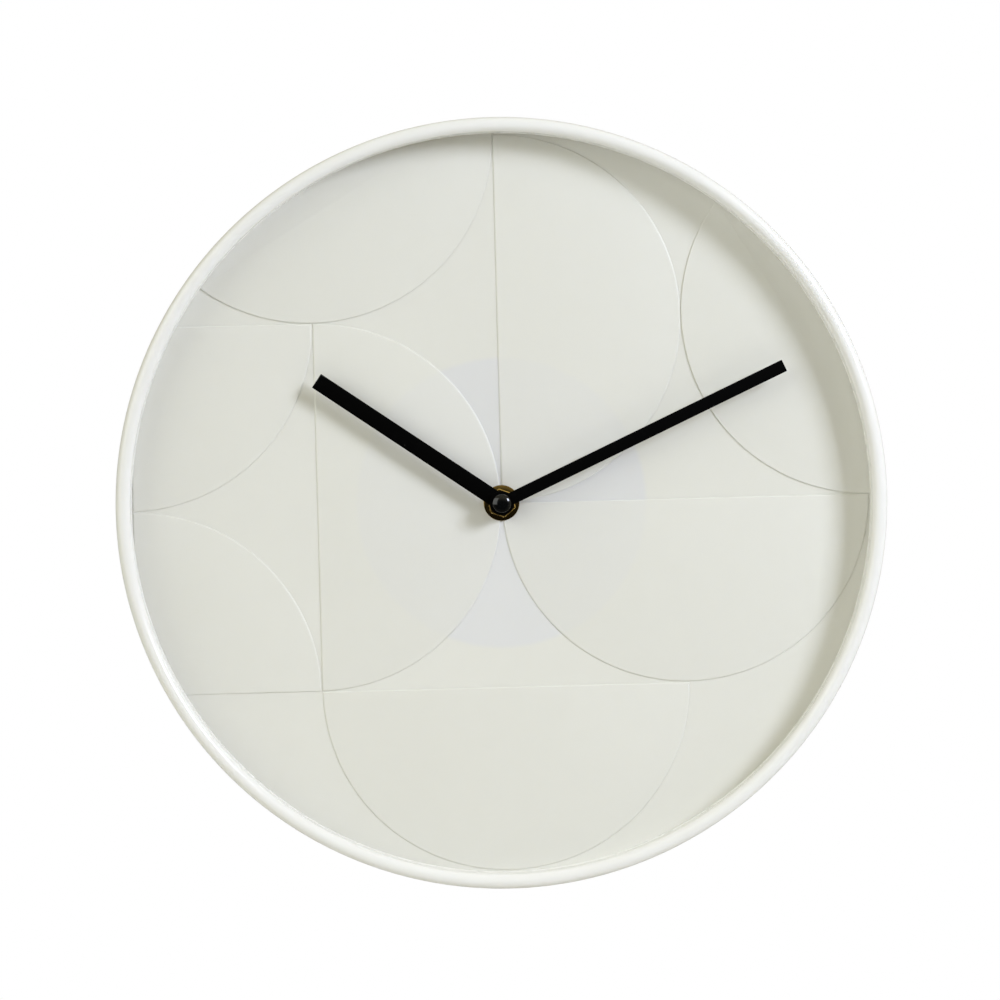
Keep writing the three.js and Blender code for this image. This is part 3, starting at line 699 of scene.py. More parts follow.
def soft_black(name, slot, colour, roughness, size):
    """Rubber or foam: open, matt and a little dusty, with painted shade in the pores."""
    paint = new_paint(name, slot)
    pores = paint.cells(size)
    dust = paint.step(paint.noise(3.0, 4.0), 0.48, 0.75)
    # Painted shade: the colour darkens in the pores, where the bump sinks.
    base = paint.mix(pores, shaded(colour, 0.7), colour)
    base = paint.mix(dust * 0.2, base, shaded(colour, 1.8))
    return paint.surface(
        Base_Color=base,
        Roughness=roughness + dust * 0.08,
        Normal=paint.bump(pores, 0.03),
    )


def wound_copper():
    """Enamelled wire laid turn by turn across the coil."""
    paint = new_paint("enamelled copper winding", "copper")
    x, _, _ = paint.coordinates()
    lay = paint.node("ShaderNodeCombineXYZ", inputs={0: x})
    turns = paint.node(
        "ShaderNodeTexWave",
        {"wave_type": "BANDS", "bands_direction": "X"},
        {"Vector": lay, "Scale": 0.31 / (0.09 * MM), "Distortion": 0.0},
    )
    cloud = paint.noise(1.5, 3.0)
    base = paint.mix(cloud, (0.5, 0.17, 0.05), (0.68, 0.29, 0.1))
    return paint.surface(
        Base_Color=base,
        Metallic=0.9,
        Roughness=0.26 + cloud * 0.12,
        Normal=paint.bump(turns, 0.03),
    )


def solder_mask():
    """Green board lacquer over faint copper tracks."""
    paint = new_paint("green circuit board", "board")
    track = paint.node(
        "ShaderNodeTexBrick",
        {"offset": 0.5},
        {"Vector": paint.stretched((1.0, 0.0, 0.0)), "Scale": 1.0 / (4.0 * MM)},
        output=1,
    )
    glass = paint.noise(0.4, 2.0)
    base = paint.mix(glass, (0.015, 0.11, 0.04), (0.02, 0.15, 0.055))
    base = paint.mix(track * 0.5, base, (0.06, 0.24, 0.09))
    return paint.surface(
        Base_Color=base,
        Roughness=0.28 + glass * 0.12,
        Normal=paint.bump(track + glass * 0.2, 0.02),
        Coat_Weight=0.4,
        Coat_Roughness=0.2,
    )


# ------------------------------------------------------------------ settings


def length_setting(name, description, default):
    return FloatProperty(
        name=name, description=description, default=default, min=0.0, unit="LENGTH", precision=5
    )


def colour_setting(name, description, default):
    return FloatVectorProperty(
        name=name, description=description, default=default, min=0.0, max=1.0, subtype="COLOR"
    )


def share_setting(name, description, default):
    return FloatProperty(
        name=name, description=description, default=default, min=0.0, max=1.0, subtype="FACTOR"
    )


def angle_setting(name, description, default):
    return FloatProperty(
        name=name, description=description, default=math.radians(default), subtype="ANGLE"
    )


def power_setting(name, description, default):
    return FloatProperty(name=name, description=description, default=default, min=0.0)


def count_setting(name, description, default, least):
    return IntProperty(name=name, description=description, default=default, min=least)


class ClockCaseSettings(bpy.types.PropertyGroup):
    """Sizes and colours of the case ring and the back pan."""

    draft: length_setting("Wall draft", "How much the outer wall narrows on the radius to the rear", 0.0016)
    ledge: length_setting("Ledge width", "How far the dial's ledge stands in from the wall", 0.004)
    ledge_thickness: length_setting("Ledge thickness", "Thickness of the dial's ledge", 0.0016)
    parting: length_setting("Parting line", "Depth of the fine line where the mould halves meet", 0.00012)
    colour: colour_setting("Case colour", "Colour of the moulded ring", (0.86, 0.855, 0.83))
    roughness: share_setting("Case roughness", "Roughness of the moulded ring", 0.22)
    pan_thickness: length_setting("Pan thickness", "Thickness of the back pan's plate", 0.0025)
    pan_colour: colour_setting("Pan colour", "Colour of the back pan", (0.6, 0.59, 0.55))
    ribs: count_setting("Ribs", "Radial ribs on the pan", 12, 0)


class ClockDialSettings(bpy.types.PropertyGroup):
    """Sizes and colours of the dial."""

    relief: length_setting("Relief", "How far the panels stand above the dial's face", 0.0005)
    fillet: length_setting("Panel fillet", "Radius of the panels' upper edges", 0.00075)
    gap: length_setting("Panel gap", "How far a panel stays inside its grid circle", 0.00012)
    colour: colour_setting("Dial colour", "Colour of the dial", (0.752, 0.745, 0.688))
    # Painted light: the colour the dial is given over the well, as if lit through from behind.
    painted_well_light: colour_setting("Well tint", "Colour of the dial over the well", (0.714, 0.713, 0.705))
    roughness: share_setting("Dial roughness", "Roughness of the dial", 0.34)


class ClockHandSettings(bpy.types.PropertyGroup):
    """Sizes and colours of the hands and the cap."""

    hub: length_setting("Hub radius", "Radius of the hands' round hubs", 0.0047)
    edge: length_setting("Edge radius", "Softening of the hands' edges", 0.00008)
    colour: colour_setting("Hand colour", "Colour of the hands' paint", (0.0007, 0.0007, 0.0007))
    roughness: share_setting("Hand roughness", "Roughness of the hands' paint", 0.55)
    cap_colour: colour_setting("Cap colour", "Colour of the centre cap", (0.0015, 0.0017, 0.002))
    cap_slope: angle_setting("Cap slope", "Slope of the cap's dome at its edge", 38.0)


class ClockMetalSettings(bpy.types.PropertyGroup):
    """Sizes and colours of the brass fixing stack."""

    thread_pitch: length_setting("Thread pitch", "Pitch of the bush's thread", 0.00075)
    dish: length_setting("Washer dish", "How much the washer is dished", 0.00036)
    brass: colour_setting("Brass", "Colour of clean brass", (0.72, 0.5, 0.17))
    tarnish: colour_setting("Tarnish", "Colour of tarnished brass", (0.26, 0.15, 0.04))


class ClockMovementSettings(bpy.types.PropertyGroup):
    """Sizes and colours of the movement."""

    wall: length_setting("Housing wall", "Thickness of the housing's walls", 0.0014)
    corner: length_setting("Housing corner", "Radius of the housing's corners", 0.002)
    colour: colour_setting("Housing colour", "Colour of the housing", (0.018, 0.018, 0.02))
    flutes: count_setting("Flutes", "Flutes round the knob", 22, 3)


class ClockStageSettings(bpy.types.PropertyGroup):
    """The camera, the light and the floor."""

    distance: length_setting("Camera distance", "From the camera to the lip", 1.8)
    azimuth: angle_setting("Camera azimuth", "How far the camera stands to the right of the axis", -1.0)
    elevation: angle_setting("Camera elevation", "How far the camera stands above the axis", 1.3)
    roll: angle_setting("Camera roll", "How far the camera leans clockwise", 1.5)
    fill: share_setting("Share of the frame", "How much of the frame's width the case fills", 0.7718)
    floor_drop: length_setting("Floor drop", "From the case down to the floor", 0.35)
    key: power_setting("Key power", "Power of the key light", 22.5)
    side: power_setting("Side power", "Power of the side light", 20.0)
    front: power_setting("Front power", "Power of the front light", 1.5)
    back: power_setting("Back power", "Power of the back light", 22.0)
    sky: power_setting("Sky", "Brightness of the sky", 0.46)
    floor: colour_setting("Floor colour", "Colour of the floor", (0.82, 0.81, 0.79))


SETTINGS = {
    "clock_case": ClockCaseSettings,
    "clock_dial": ClockDialSettings,
    "clock_hands": ClockHandSettings,
    "clock_metal": ClockMetalSettings,
    "clock_movement": ClockMovementSettings,
    "clock_stage": ClockStageSettings,
}


# ------------------------------------------------------------------ case and pan


def screw_spots():
    """Where the pan screws stand, as (across, height)."""
    return [(centre_of(name)[0], centre_of(name)[2]) for name in SCREWS]


class CLOCK_OT_case_ring(bpy.types.Operator):
    """Makes the moulded case ring with its full-round lip, ledge and screw bosses."""

    bl_idname = "clock.case_ring"
    bl_label = "Case Ring"

    def execute(self, context):
        case = context.scene.clock_case
        wall_rear = CASE_RADIUS - case.draft / MM
        lip_centre = CASE_FRONT - LIP_RADIUS
        ledge_front = FOAM_REAR - SEAT_GAP
        ledge_rear = ledge_front - case.ledge_thickness / MM
        ledge_inner = LIP_INNER - case.ledge / MM
        groove, groove_half = case.parting / MM, 0.25
        groove_depth = lip_centre - 3.0
        groove_radius = CASE_RADIUS - case.draft / MM * (1 - groove_depth / lip_centre)
        lip = arc((CASE_RADIUS - LIP_RADIUS, lip_centre), LIP_RADIUS, 0, 180, 28)
        corners = [
            (WALL_INNER, CASE_REAR, 0.4),
            (wall_rear, CASE_REAR, 0.7),
            (groove_radius, groove_depth - groove_half, 0),
            (groove_radius - groove, groove_depth, 0),
            (groove_radius, groove_depth + groove_half, 0),
            *((radius, depth, 0) for radius, depth in lip),
            (LIP_INNER, ledge_front, 0.2),
            (ledge_inner, ledge_front, 0.3),
            (ledge_inner, ledge_rear, 0.3),
            (WALL_INNER, ledge_rear, 0.5),
        ]
        form = Form().turned(rounded(corners), ROUND_SIDES)
        pilot, boss = 1.6, 4.0
        boss_rear = PAN_REAR + case.pan_thickness / MM + SEAT_GAP
        for spot in screw_spots():
            form.ring(pilot, boss, boss_rear, ledge_rear + 2 * SUNK, 0.25, 40, spot)
        paint = satin_case_plastic(case.colour, case.roughness)
        form.piece("case_ring_moulding", paint, ["case_ring"])
        return {"FINISHED"}


def keyhole_cutter():
    """The hook's entry hole and the slot above it. The hook bears at the frame's origin."""
    slot_half = 2.5
    entry_radius = 5.0
    travel = 12.0
    top = -ARBOR.z / MM
    meet = math.degrees(math.acos(slot_half / entry_radius))
    outline = arc((0.0, top - slot_half), slot_half, 0, 180, 12)
    outline += arc((0.0, top - travel), entry_radius, 180 - meet, 360 + meet, 36)
    return Form().prism(outline, CUT_REAR, CUT_FRONT)


class CLOCK_OT_back_pan(bpy.types.Operator):
    """Makes the back pan with its well, keyhole, ribs and screw seats."""

    bl_idname = "clock.back_pan"
    bl_label = "Back Pan"

    def execute(self, context):
        case = context.scene.clock_case
        front = PAN_REAR + case.pan_thickness / MM
        well_outer = WELL_RADIUS + WELL_WALL
        rim_outer, rim_rear = WELL_RADIUS + 3.0, PAN_REAR - 0.9
        corners = [
            (WELL_RADIUS, rim_rear, 0.4),
            (rim_outer, rim_rear, 0.4),
            (rim_outer, PAN_REAR, 0.2),
            (PAN_RADIUS, PAN_REAR, 0.3),
            (PAN_RADIUS, front, 0.3),
            (well_outer, front, 0.6),
            (well_outer, WELL_FRONT, 0.3),
            (WELL_RADIUS, WELL_FRONT, 0.3),
        ]
        shank_hole, collar_inner, collar_outer = 1.7, 3.0, 4.1
        collar_rear, collar_front = PAN_REAR - 0.5, PAN_REAR + 0.3
        cutter = keyhole_cutter()
        for spot in screw_spots():
            cutter.ring(0, shank_hole, CUT_REAR, CUT_FRONT, 0, 32, spot)
        form = Form().turned(rounded(corners), 240).cut_by(cutter)
        self.add_ribs(form, case.ribs)
        self.add_keyhole_pad(form)
        for spot in screw_spots():
            form.ring(collar_inner, collar_outer, collar_rear, collar_front, 0.2, 40, spot)
        paint = eroded_plastic("matt pan plastic", "back_plastic", case.pan_colour, 0.46, 0.4, 0.02)
        form.piece("back_pan_moulding", paint, ["back_pan"])
        return {"FINISHED"}

    def add_ribs(self, form, count):
        """Radial ribs, with a ring rib near the edge and the marks of the ejector pins."""
        rib_rear, rib_front = PAN_REAR - 0.7, PAN_REAR + SUNK
        ring_inner, ring_width = 124.0, 1.6
        bar = box_outline(-ring_width / 2, 64.0, ring_width / 2, ring_inner + 0.4, 0.3)
        pin_radius, pin_reach, pin_turn = 2.6, 78.0, 0.2
        for index in range(count):
            angle = 2 * math.pi * (index + 0.5) / count
            rib = Form().prism(bar, rib_rear, rib_front, soft_rear=0.25)
            form.joined(rib.moved(turn=angle))
            pin = (pin_reach * math.sin(angle + pin_turn), pin_reach * math.cos(angle + pin_turn))
            form.ring(0, pin_radius, PAN_REAR - 0.12, PAN_REAR + SUNK, 0.05, 32, pin)
        form.ring(ring_inner, ring_inner + ring_width, rib_rear, rib_front, 0.25, 240)

    def add_keyhole_pad(self, form):
        """A raised pad that stiffens the plate round the keyhole."""
        top = -ARBOR.z / MM
        half = 8.5
        outline = box_outline(-half, top - 20.5, half, top + 6.0, 4.0, 8)
        pad = Form().prism(outline, PAN_REAR - 0.8, PAN_REAR + SUNK, soft_rear=0.3)
        form.joined(pad.cut_by(keyhole_cutter()))


class CLOCK_OT_pan_screws(bpy.types.Operator):
    """Makes the pan screws with domed heads and cross recesses."""

    bl_idname = "clock.pan_screws"
    bl_label = "Pan Screws"

    def execute(self, context):
        paint = plated_steel()
        for index, name in enumerate(SCREWS):
            across, _, height = centre_of(name)
            form = self.screw(*depths(name), radius_of(name))
            form.moved((across, 0, height), turn=2.4 * index)
            form.piece(f"{name}_cross_head", paint, [name])
        return {"FINISHED"}

    def screw(self, rear, front, head_radius):
        """A screw on the arbor's own axis, its thread as ridges."""
        shank, pitch, point = 1.4, 1.0, 1.6
        thread_root = shank - 0.35
        crown = 1.3
        under = rear + 1.8
        profile = [(0, rear)]
        profile += arc((head_radius - crown, rear + crown), crown, -90, 0, 8)
        profile += [(head_radius, under - 0.1), (head_radius - 0.1, under), (shank - 0.2, under)]
        depth = under + pitch / 2
        while depth < front - point - 0.6:
            profile += [(thread_root, depth), (shank, depth + pitch / 2)]
            depth += pitch
        profile += [(thread_root, front - point), (0, front)]
        arm, half, recess = 1.35, 0.33, 1.0
        quarter = [(half, half), (half, arm), (-half, arm)]
        cross = []
        for _ in range(4):
            cross += quarter
            quarter = [(-b, a) for a, b in quarter]
        cutter = Form().prism(cross, rear - recess, rear + recess)
        return Form().turned(profile, 48).cut_by(cutter)


# ------------------------------------------------------------------ dial


def panel_outlines(grid_step, gap):
    """The raised panels: discs, halves and quarters of one grid step on a square grid."""
    radius = grid_step - gap
    quarters = [
        ((-1, 2), 0, 4),
        ((2, 1), 0, 4),
        ((0, 1), -1, 1),
        ((-1, 0), -1, 1),
        ((0, -1), 2, 4),
        ((1, 0), 2, 4),
        ((-2, 1), -1, 0),
        ((-2, -1), 0, 1),
    ]
    for (column, row), first, last in quarters:
        centre = (column * grid_step, row * grid_step)
        span = last - first
        outline = arc(centre, radius, 90 * first, 90 * last, 48 * span)
        if span == 4:
            outline = outline[:-1]
        elif span == 1:
            outline.append(centre)
        yield clipped(outline, PANEL_REACH)


class CLOCK_OT_dial(bpy.types.Operator):
    """Makes the dial with its raised panels."""

    bl_idname = "clock.dial"
    bl_label = "Dial"

    def execute(self, context):
        dial = context.scene.clock_dial
        face = RELIEF_FACE - dial.relief / MM
        plate = [
            (ARBOR_HOLE, DIAL_REAR, 0.1),
            (SNUG_RADIUS, DIAL_REAR, 0.2),
            (SNUG_RADIUS, face, 0),
            (ARBOR_HOLE, face, 0.1),
        ]
        form = Form().turned(rounded(plate), ROUND_SIDES)
        panel_root = face - 0.6
        for outline in panel_outlines(DIAL_RADIUS / 2, dial.gap / MM):
            form.prism(outline, panel_root, RELIEF_FACE, soft_front=dial.fillet / MM, steps=5)
        paint = matt_dial_plastic(dial.colour, dial.painted_well_light, dial.roughness)
        form.piece("dial_moulding", paint, ["dial_plate"], sharp=25.0)
        return {"FINISHED"}


# ------------------------------------------------------------------ fixing stack


class CLOCK_OT_fixing_stack(bpy.types.Operator):
    """Makes the threaded bush, the dished washer, the chamfered nut and the rubber washer."""

    bl_idname = "clock.fixing_stack"
    bl_label = "Fixing Stack"

    def execute(self, context):
        metal = context.scene.clock_metal
        brass = turned_brass("turned brass", metal.brass, metal.tarnish)
        # Painted shade: the washer is given a darker copy of the same brass so that it looks shaded.
        washer_brass_painted_darker = shaded(metal.brass, 0.62)
        dark = turned_brass("washer brass painted darker", washer_brass_painted_darker, metal.tarnish, 0.08)
        self.bush(metal.thread_pitch / MM).piece("threaded_bush_turned", brass, ["threaded_bush"])
        self.washer(metal.dish / MM).piece("brass_washer_dished", dark, ["brass_washer"])
        self.nut().piece("hex_nut_chamfered", brass, ["hex_nut"], sharp=20.0)
        rubber = soft_black("black rubber", "rubber", (0.02, 0.02, 0.02), 0.75, 0.5)
        rear, front = depths("rubber_washer")
        form = Form().ring(ARBOR_HOLE, radius_of("rubber_washer"), rear, front, 0.2)
        form.piece("rubber_washer_moulded", rubber, ["rubber_washer"])
        return {"FINISHED"}

    def bush(self, pitch):
        """The bush with a helical thread in front of its flange."""
        rear, front = depths("threaded_bush")
        flange_rear = depths("front_housing")[1] + SEAT_GAP
        flange_front = flange_rear + 1.0
        flange_radius = radius_of("threaded_bush")
        crest, bore, thread_depth = 4.0, 2.8, 0.32
        shank = crest - 0.3
        thread_start, thread_end = flange_front + 0.3, front - 0.4
        steps_in_pitch = 6
        levels = int((thread_end - thread_start) / pitch * steps_in_pitch)

        def section(angle):
            points = [(bore, rear), (shank, rear), (shank, flange_rear)]
            points += [(flange_radius, flange_rear), (flange_radius, flange_front)]
            points += [(shank, flange_front)]
            for level in range(levels):
                depth = thread_start + level * pitch / steps_in_pitch
                phase = (depth / pitch - angle / (2 * math.pi)) % 1.0
                ridge = abs(2 * phase - 1)
                points.append((crest - thread_depth * ridge, depth))
            points += [(crest - 0.5, front), (bore, front)]
            return points

        return Form().turned(section, 72)

    def washer(self, dish):
        """A washer whose middle stands a little proud of its rim."""
        rear, front = depths("brass_washer")
        outer = radius_of("brass_washer")
        corners = [
            (outer, rear, 0.1),
            (outer, front - dish, 0.15),
            (ARBOR_HOLE, front, 0.1),
            (ARBOR_HOLE, rear, 0.05),
        ]
        return Form().turned(rounded(corners), 128)

    def nut(self):
        """A hexagon nut with a round chamfer on both faces and a countersunk bore."""
        rear, front = depths("hex_nut")
        flat, bore, countersink = 5.0, 4.2, 0.25
        corner = flat * 1.138
        tilt = math.radians(10.0)
        chamfer, fall = 0.32, 0.26

        def section(angle):
            from_flat = math.remainder(angle - tilt - math.pi / 3, math.pi / 3)
            edge = min(flat / math.cos(from_flat), corner)
            return [
                (bore, rear + countersink),
                (bore + countersink, rear),
                (edge - chamfer, rear),
                (edge, rear + fall),
                (edge, front - fall),
                (edge - chamfer, front),
                (bore + countersink, front),
                (bore, front - countersink),
            ]

        return Form().turned(section, 216)


# ------------------------------------------------------------------ hands and cap


def bar_of(node):
    """A hand's length, width and clockwise angle, from the corners of its tip."""
    mesh = frame["nodes"][node].data
    places = [(v.co - ARBOR).xz / MM for v in mesh.vertices]
    reach = max(place.length for place in places)
    corners = [place for place in places if reach - place.length < 0.01]
    tip = sum(corners, Vector((0, 0))) / len(corners)
    width = 2 * max((corner - tip).length for corner in corners)
    return tip.length, width, math.atan2(tip.x, tip.y)


class CLOCK_OT_hands(bpy.types.Operator):
    """Makes the two bar hands with their hubs and collars."""

    bl_idname = "clock.hands"
    bl_label = "Hands"

    def execute(self, context):
        hands = context.scene.clock_hands
        paint = hand_paint(hands.colour, hands.roughness)
        bores = {"minute_hand": 1.7, "hour_hand": 2.7}
        for node, bore in bores.items():
            form = self.hand(node, bore, hands.hub / MM, hands.edge / MM)
            form.piece(f"{node}_blade", paint, [node], sharp=40.0)
        return {"FINISHED"}

    def hand(self, node, bore, hub, edge):
        length, width, angle = bar_of(node)
        rear, front = depths(node)
        collar, collar_wall = 1.2, 0.6
        blade_rear = rear + collar
        half = width / 2
        corner = 0.12
        meet = math.degrees(math.acos(half / hub))
        bar = [(-half, 0, 0), (half, 0, 0), (half, length, corner), (-half, length, corner)]
        outline = rounded(bar, 3)[2:] + arc((0, 0), hub, 180 - meet, 360 + meet, 72)
        blade = Form().prism(outline, blade_rear, front, edge, edge, 2)
        form = blade.cut_by(Form().ring(0, bore, rear - CUT_PAST, front + CUT_PAST, 0, 64))
        form.ring(bore, bore + collar_wall, rear, blade_rear + SUNK, 0.1, 64)
        return form.moved(turn=angle)


class CLOCK_OT_centre_cap(bpy.types.Operator):
    """Makes the glossy cap: a shallow dome with a rolled edge."""

    bl_idname = "clock.centre_cap"
    bl_label = "Centre Cap"

    def execute(self, context):
        hands = context.scene.clock_hands
        rear, front = depths("centre_cap")
        radius = radius_of("centre_cap")
        roll, chamfer = 0.35, 0.1
        dome = radius - roll * (1 - math.sin(hands.cap_slope))
        drop = dome * math.tan(hands.cap_slope) / 3
        foot = front - drop - roll * math.cos(hands.cap_slope)
        profile = [(0, rear), (radius - chamfer, rear), (radius, rear + chamfer)]
        profile += arc((radius - roll, foot), roll, 0, 90 - math.degrees(hands.cap_slope), 8)
        dome_steps = 14
        for step in range(1, dome_steps):
            share = 1 - step / dome_steps
            profile.append((dome * share, front - drop * share**3))
        profile.append((0, front))
        paint = gloss_black_plastic(hands.cap_colour)
        Form().turned(profile, 96).piece("centre_cap_polished", paint, ["centre_cap"], sharp=50.0)
        return {"FINISHED"}


# ------------------------------------------------------------------ movement


class CLOCK_OT_movement_housing(bpy.types.Operator):
    """Makes the movement's housing with its battery bay, and the rear cover."""

    bl_idname = "clock.movement_housing"
    bl_label = "Movement Housing"

    def execute(self, context):
        movement = context.scene.clock_movement
        paint = eroded_plastic("black movement plastic", "movement_plastic", movement.colour, 0.42)
        self.housing(movement).piece("front_housing_moulding", paint, ["front_housing"])
        self.cover(movement).piece("rear_cover_moulding", paint, ["rear_cover"])
        return {"FINISHED"}

    def housing(self, movement):
        """A box with a chamber for the works, an open bay for the cell and a seat for the cover."""
        left, right, bottom, top = edges_of("front_housing")
        rear, front = depths("front_housing")
        cover_front = depths("rear_cover")[1]
        cover_bottom = edges_of("rear_cover")[2]
        wall = movement.wall / MM
        floor = front - wall
        outline = box_outline(left, bottom, right, top, movement.corner / MM, 6)
        form = Form().prism(outline, rear, front)
        bay_top = cover_bottom - DROP_IN_GAP - wall / 2
        chamber = box_outline(left + wall, bay_top + wall, right - wall, top - wall, 0.8)
        bay = box_outline(left + wall, bottom + wall, right - wall, bay_top, 0.8)
        form = form.cut_by(Form().prism(chamber, CUT_REAR, floor).prism(bay, CUT_REAR, floor))
        seat = box_outline(left - CUT_PAST, bay_top + wall / 2, right + CUT_PAST, top + CUT_PAST)
        form = form.cut_by(Form().prism(seat, CUT_REAR, cover_front + SEAT_GAP))
        form = form.cut_by(Form().ring(0, ARBOR_HOLE, floor - 1, front + CUT_PAST, 0, 48))
        thumb, thumb_drop = 9.0, 5.5
        notch = box_outline(-thumb, bottom - CUT_PAST, thumb, bottom + wall + 2, 2.0)
        form = form.cut_by(Form().prism(notch, CUT_REAR, rear + thumb_drop))
        form = form.softened(0.25)
        rib_share, rib_half = 0.62, 0.6
        for across in (left * rib_share, right * rib_share):
            rib = box_outline(across - rib_half, bottom + wall - SUNK, across + rib_half, bay_top + SUNK)
            form.prism(rib, floor - 0.9, floor + 0.3, soft_rear=0.2)
        clip_proud, clip_half = 0.7, 4.0
        for height in (-12.0, 12.0):
            for side in (left, right):
                corners = (side - clip_proud, height - clip_half, side + clip_proud, height + clip_half)
                form.prism(box_outline(*corners, 0.3), front - 7.0, front - 2.0, 0.2, 0.2)
        return form

    def cover(self, movement):
        """A plate with four latch windows, a sunk panel, and a ring and an arrow round the knob."""
        left, right, bottom, top = edges_of("rear_cover")
        rear, front = depths("rear_cover")
        outline = box_outline(left, bottom, right, top, movement.corner / MM, 6)
        form = Form().prism(outline, rear, front, soft_front=0.2, soft_rear=0.5)
        knob, knob_hole = spot_of("setting"), 1.1
        cutter = Form().ring(0, knob_hole, CUT_REAR, CUT_FRONT, 0, 40, knob)
        wide, high = 2.2, 0.7
        for across in (left + 5.0, right - 5.0):
            for height in (bottom + 3.0, top - 3.0):
                window = box_outline(across - wide, height - high, across + wide, height + high, 0.3)
                cutter.prism(window, CUT_REAR, CUT_FRONT)
        panel = box_outline(left + 6.0, top - 20.0, right - 6.0, top - 8.0, 1.0)
        cutter.prism(panel, rear - 1.0, rear + 0.3)
        form = form.cut_by(cutter)
        form.ring(5.4, 6.2, rear - 0.5, rear + 0.3, 0.2, 72, knob)
        self.add_arrow(form, knob, rear)
        return form

    def add_arrow(self, form, knob, rear):
        """A raised curved arrow beside the knob that shows which way it turns."""
        inner, outer, barb = 7.0, 7.9, 0.9
        start, end, tip = 150, 70, 57
        shaft = arc(knob, inner, end, start, 20) + arc(knob, outer, start, end, 20)
        head = []
        corners = (((inner + outer) / 2, tip), (outer + barb, end + 1), (inner - barb, end + 1))
        for reach, degrees in corners:
            head += arc(knob, reach, degrees, degrees, 1)[:1]
        for outline in (shaft, head):
            form.prism(outline, rear - 0.35, rear + 0.3, soft_rear=0.1)


class CLOCK_OT_battery(bpy.types.Operator):
    """Makes the cell in its sleeve and the two contacts."""

    bl_idname = "clock.battery"
    bl_label = "Battery and Contacts"

    def execute(self, context):
        left, right, bottom, top = edges_of("battery")
        cell = self.cell(left, right, (top - bottom) / 2)
        cell.piece("battery_cell", cell_sleeve(left * MM, right * MM), ["battery"], sharp=50.0)
        steel = plated_steel("nickel plated spring steel", (0.6, 0.58, 0.54), 0.22)
        self.contact("positive_contact").piece("positive_contact_strip", steel, ["positive_contact"])
        spring = self.contact("negative_contact")
        spring.tube(self.spring_path(), 0.26, 10)
        spring.piece("negative_contact_spring", steel, ["negative_contact"], sharp=60.0)
        return {"FINISHED"}

    def cell(self, left, right, radius):
        """The can with its crimped ends, the sleeve's rolled edges and the raised button."""
        nub = right - 1.0
        button = radius * 0.38
        profile = [(0, left + 0.25), (radius * 0.55, left + 0.25), (radius * 0.62, left)]
        profile += [(radius - 1.2, left), (radius - 0.7, left + 0.15), (radius - 0.25, left + 0.7)]
        profile += arc((radius - 0.25, left + 0.95), 0.25, -60, 0, 4)
        profile += arc((radius - 0.4, nub - 1.0), 0.4, 0, 70, 5)
        profile += [(radius - 0.8, nub - 0.5), (radius - 1.0, nub - 0.1), (radius - 1.3, nub)]
        profile += [(button + 0.9, nub), (button + 0.6, nub - 0.25), (button, nub - 0.2)]
        profile += arc((button - 0.3, right - 0.3), 0.3, 0, 90, 4)
        profile += [(0, right)]
        _, depth, height = centre_of("battery")
        return Form().turned(profile, 96, (0.0, depth, height), "across")

    def contact(self, node):
        """A strip: a flat plate with softened edges and, where it meets the button, a dimple."""
        left, right, bottom, top = edges_of(node)
        rear, front = depths(node)
        positive = left > 0
        thickness = 0.4
        if positive:
            left = right - thickness
        else:
            right = left + thickness
        form = Form().prism(box_outline(left, bottom, right, top, 0.1), rear, front, 0.1, 0.1)
        if positive:
            _, depth, height = centre_of(node)
            dimple = [(0, left - 0.25), (1.2, left - 0.2), (2.0, left + 0.05)]
            dimple += [(2.1, right - 0.1), (0, right - 0.1)]
            form.turned(dimple, 40, (0.0, depth, height), "across")
        return form

    def spring_path(self):
        """A cone of wire pressed nearly flat between the plate and the cell's end."""
        left, right, _, _ = edges_of("negative_contact")
        _, depth, height = centre_of("negative_contact")
        turns, steps = 2.75, 90
        foot, tip = 3.9, 1.5
        start, end = left + 0.55, right - 0.2
        path = []
        for step in range(steps + 1):
            along = step / steps
            angle = 2 * math.pi * turns * along
            reach = foot + (tip - foot) * along
            across = start + (end - start) * along
            path.append((across, depth + reach * math.cos(angle), height + reach * math.sin(angle)))
        return path


class CLOCK_OT_setting_knob(bpy.types.Operator):
    """Makes the fluted setting knob with its slot, arbor and pinion."""

    bl_idname = "clock.setting_knob"
    bl_label = "Setting Knob"

    def execute(self, context):
        flutes = context.scene.clock_movement.flutes
        rear, front = depths("setting_knob")
        knob_front = depths("rear_cover")[0] - SEAT_GAP
        radius = radius_of("setting_knob")
        spot = spot_of("setting")
        centre = (spot[0], 0.0, spot[1])

        def section(angle):
            flute = 0.3 * (0.5 - 0.5 * math.cos(flutes * angle)) ** 2
            edge = radius - flute
            return [
                (0, rear + 0.35),
                (radius - 1.5, rear + 0.35),
                (radius - 1.2, rear),
                (radius - 0.6, rear),
                (edge - 0.15, rear + 0.2),
                (edge, rear + 0.45),
                (edge, knob_front - 0.25),
                (edge - 0.25, knob_front),
                (0, knob_front),
            ]

        slot = box_outline(-2.6, -0.5, 2.6, 0.5, 0.2)
        slot = [(spot[0] + a, spot[1] + b) for a, b in slot]
        form = Form().turned(section, flutes * 12, centre)
        form = form.cut_by(Form().prism(slot, rear - 1.0, rear + 1.2))
        form.ring(0, 0.9, knob_front - 0.3, front - 0.2, 0, 40, spot)
        form.prism(self.pinion(spot), front - 0.9, front)
        paint = nylon("knob nylon", (0.66, 0.64, 0.58))
        form.piece("setting_knob_fluted", paint, ["setting_knob"])
        return {"FINISHED"}

    def pinion(self, spot):
        """Trapezoid teeth on the pinion that turns the motion work."""
        teeth, root, tip = 12, 1.21, 1.7
        outline = []
        for tooth in range(teeth):
            for reach, share_of_pitch in ((root, -0.25), (tip, -0.1), (tip, 0.1), (root, 0.25)):
                angle = 2 * math.pi * (tooth + share_of_pitch) / teeth
                outline.append((spot[0] + reach * math.cos(angle), spot[1] + reach * math.sin(angle)))
        return outline


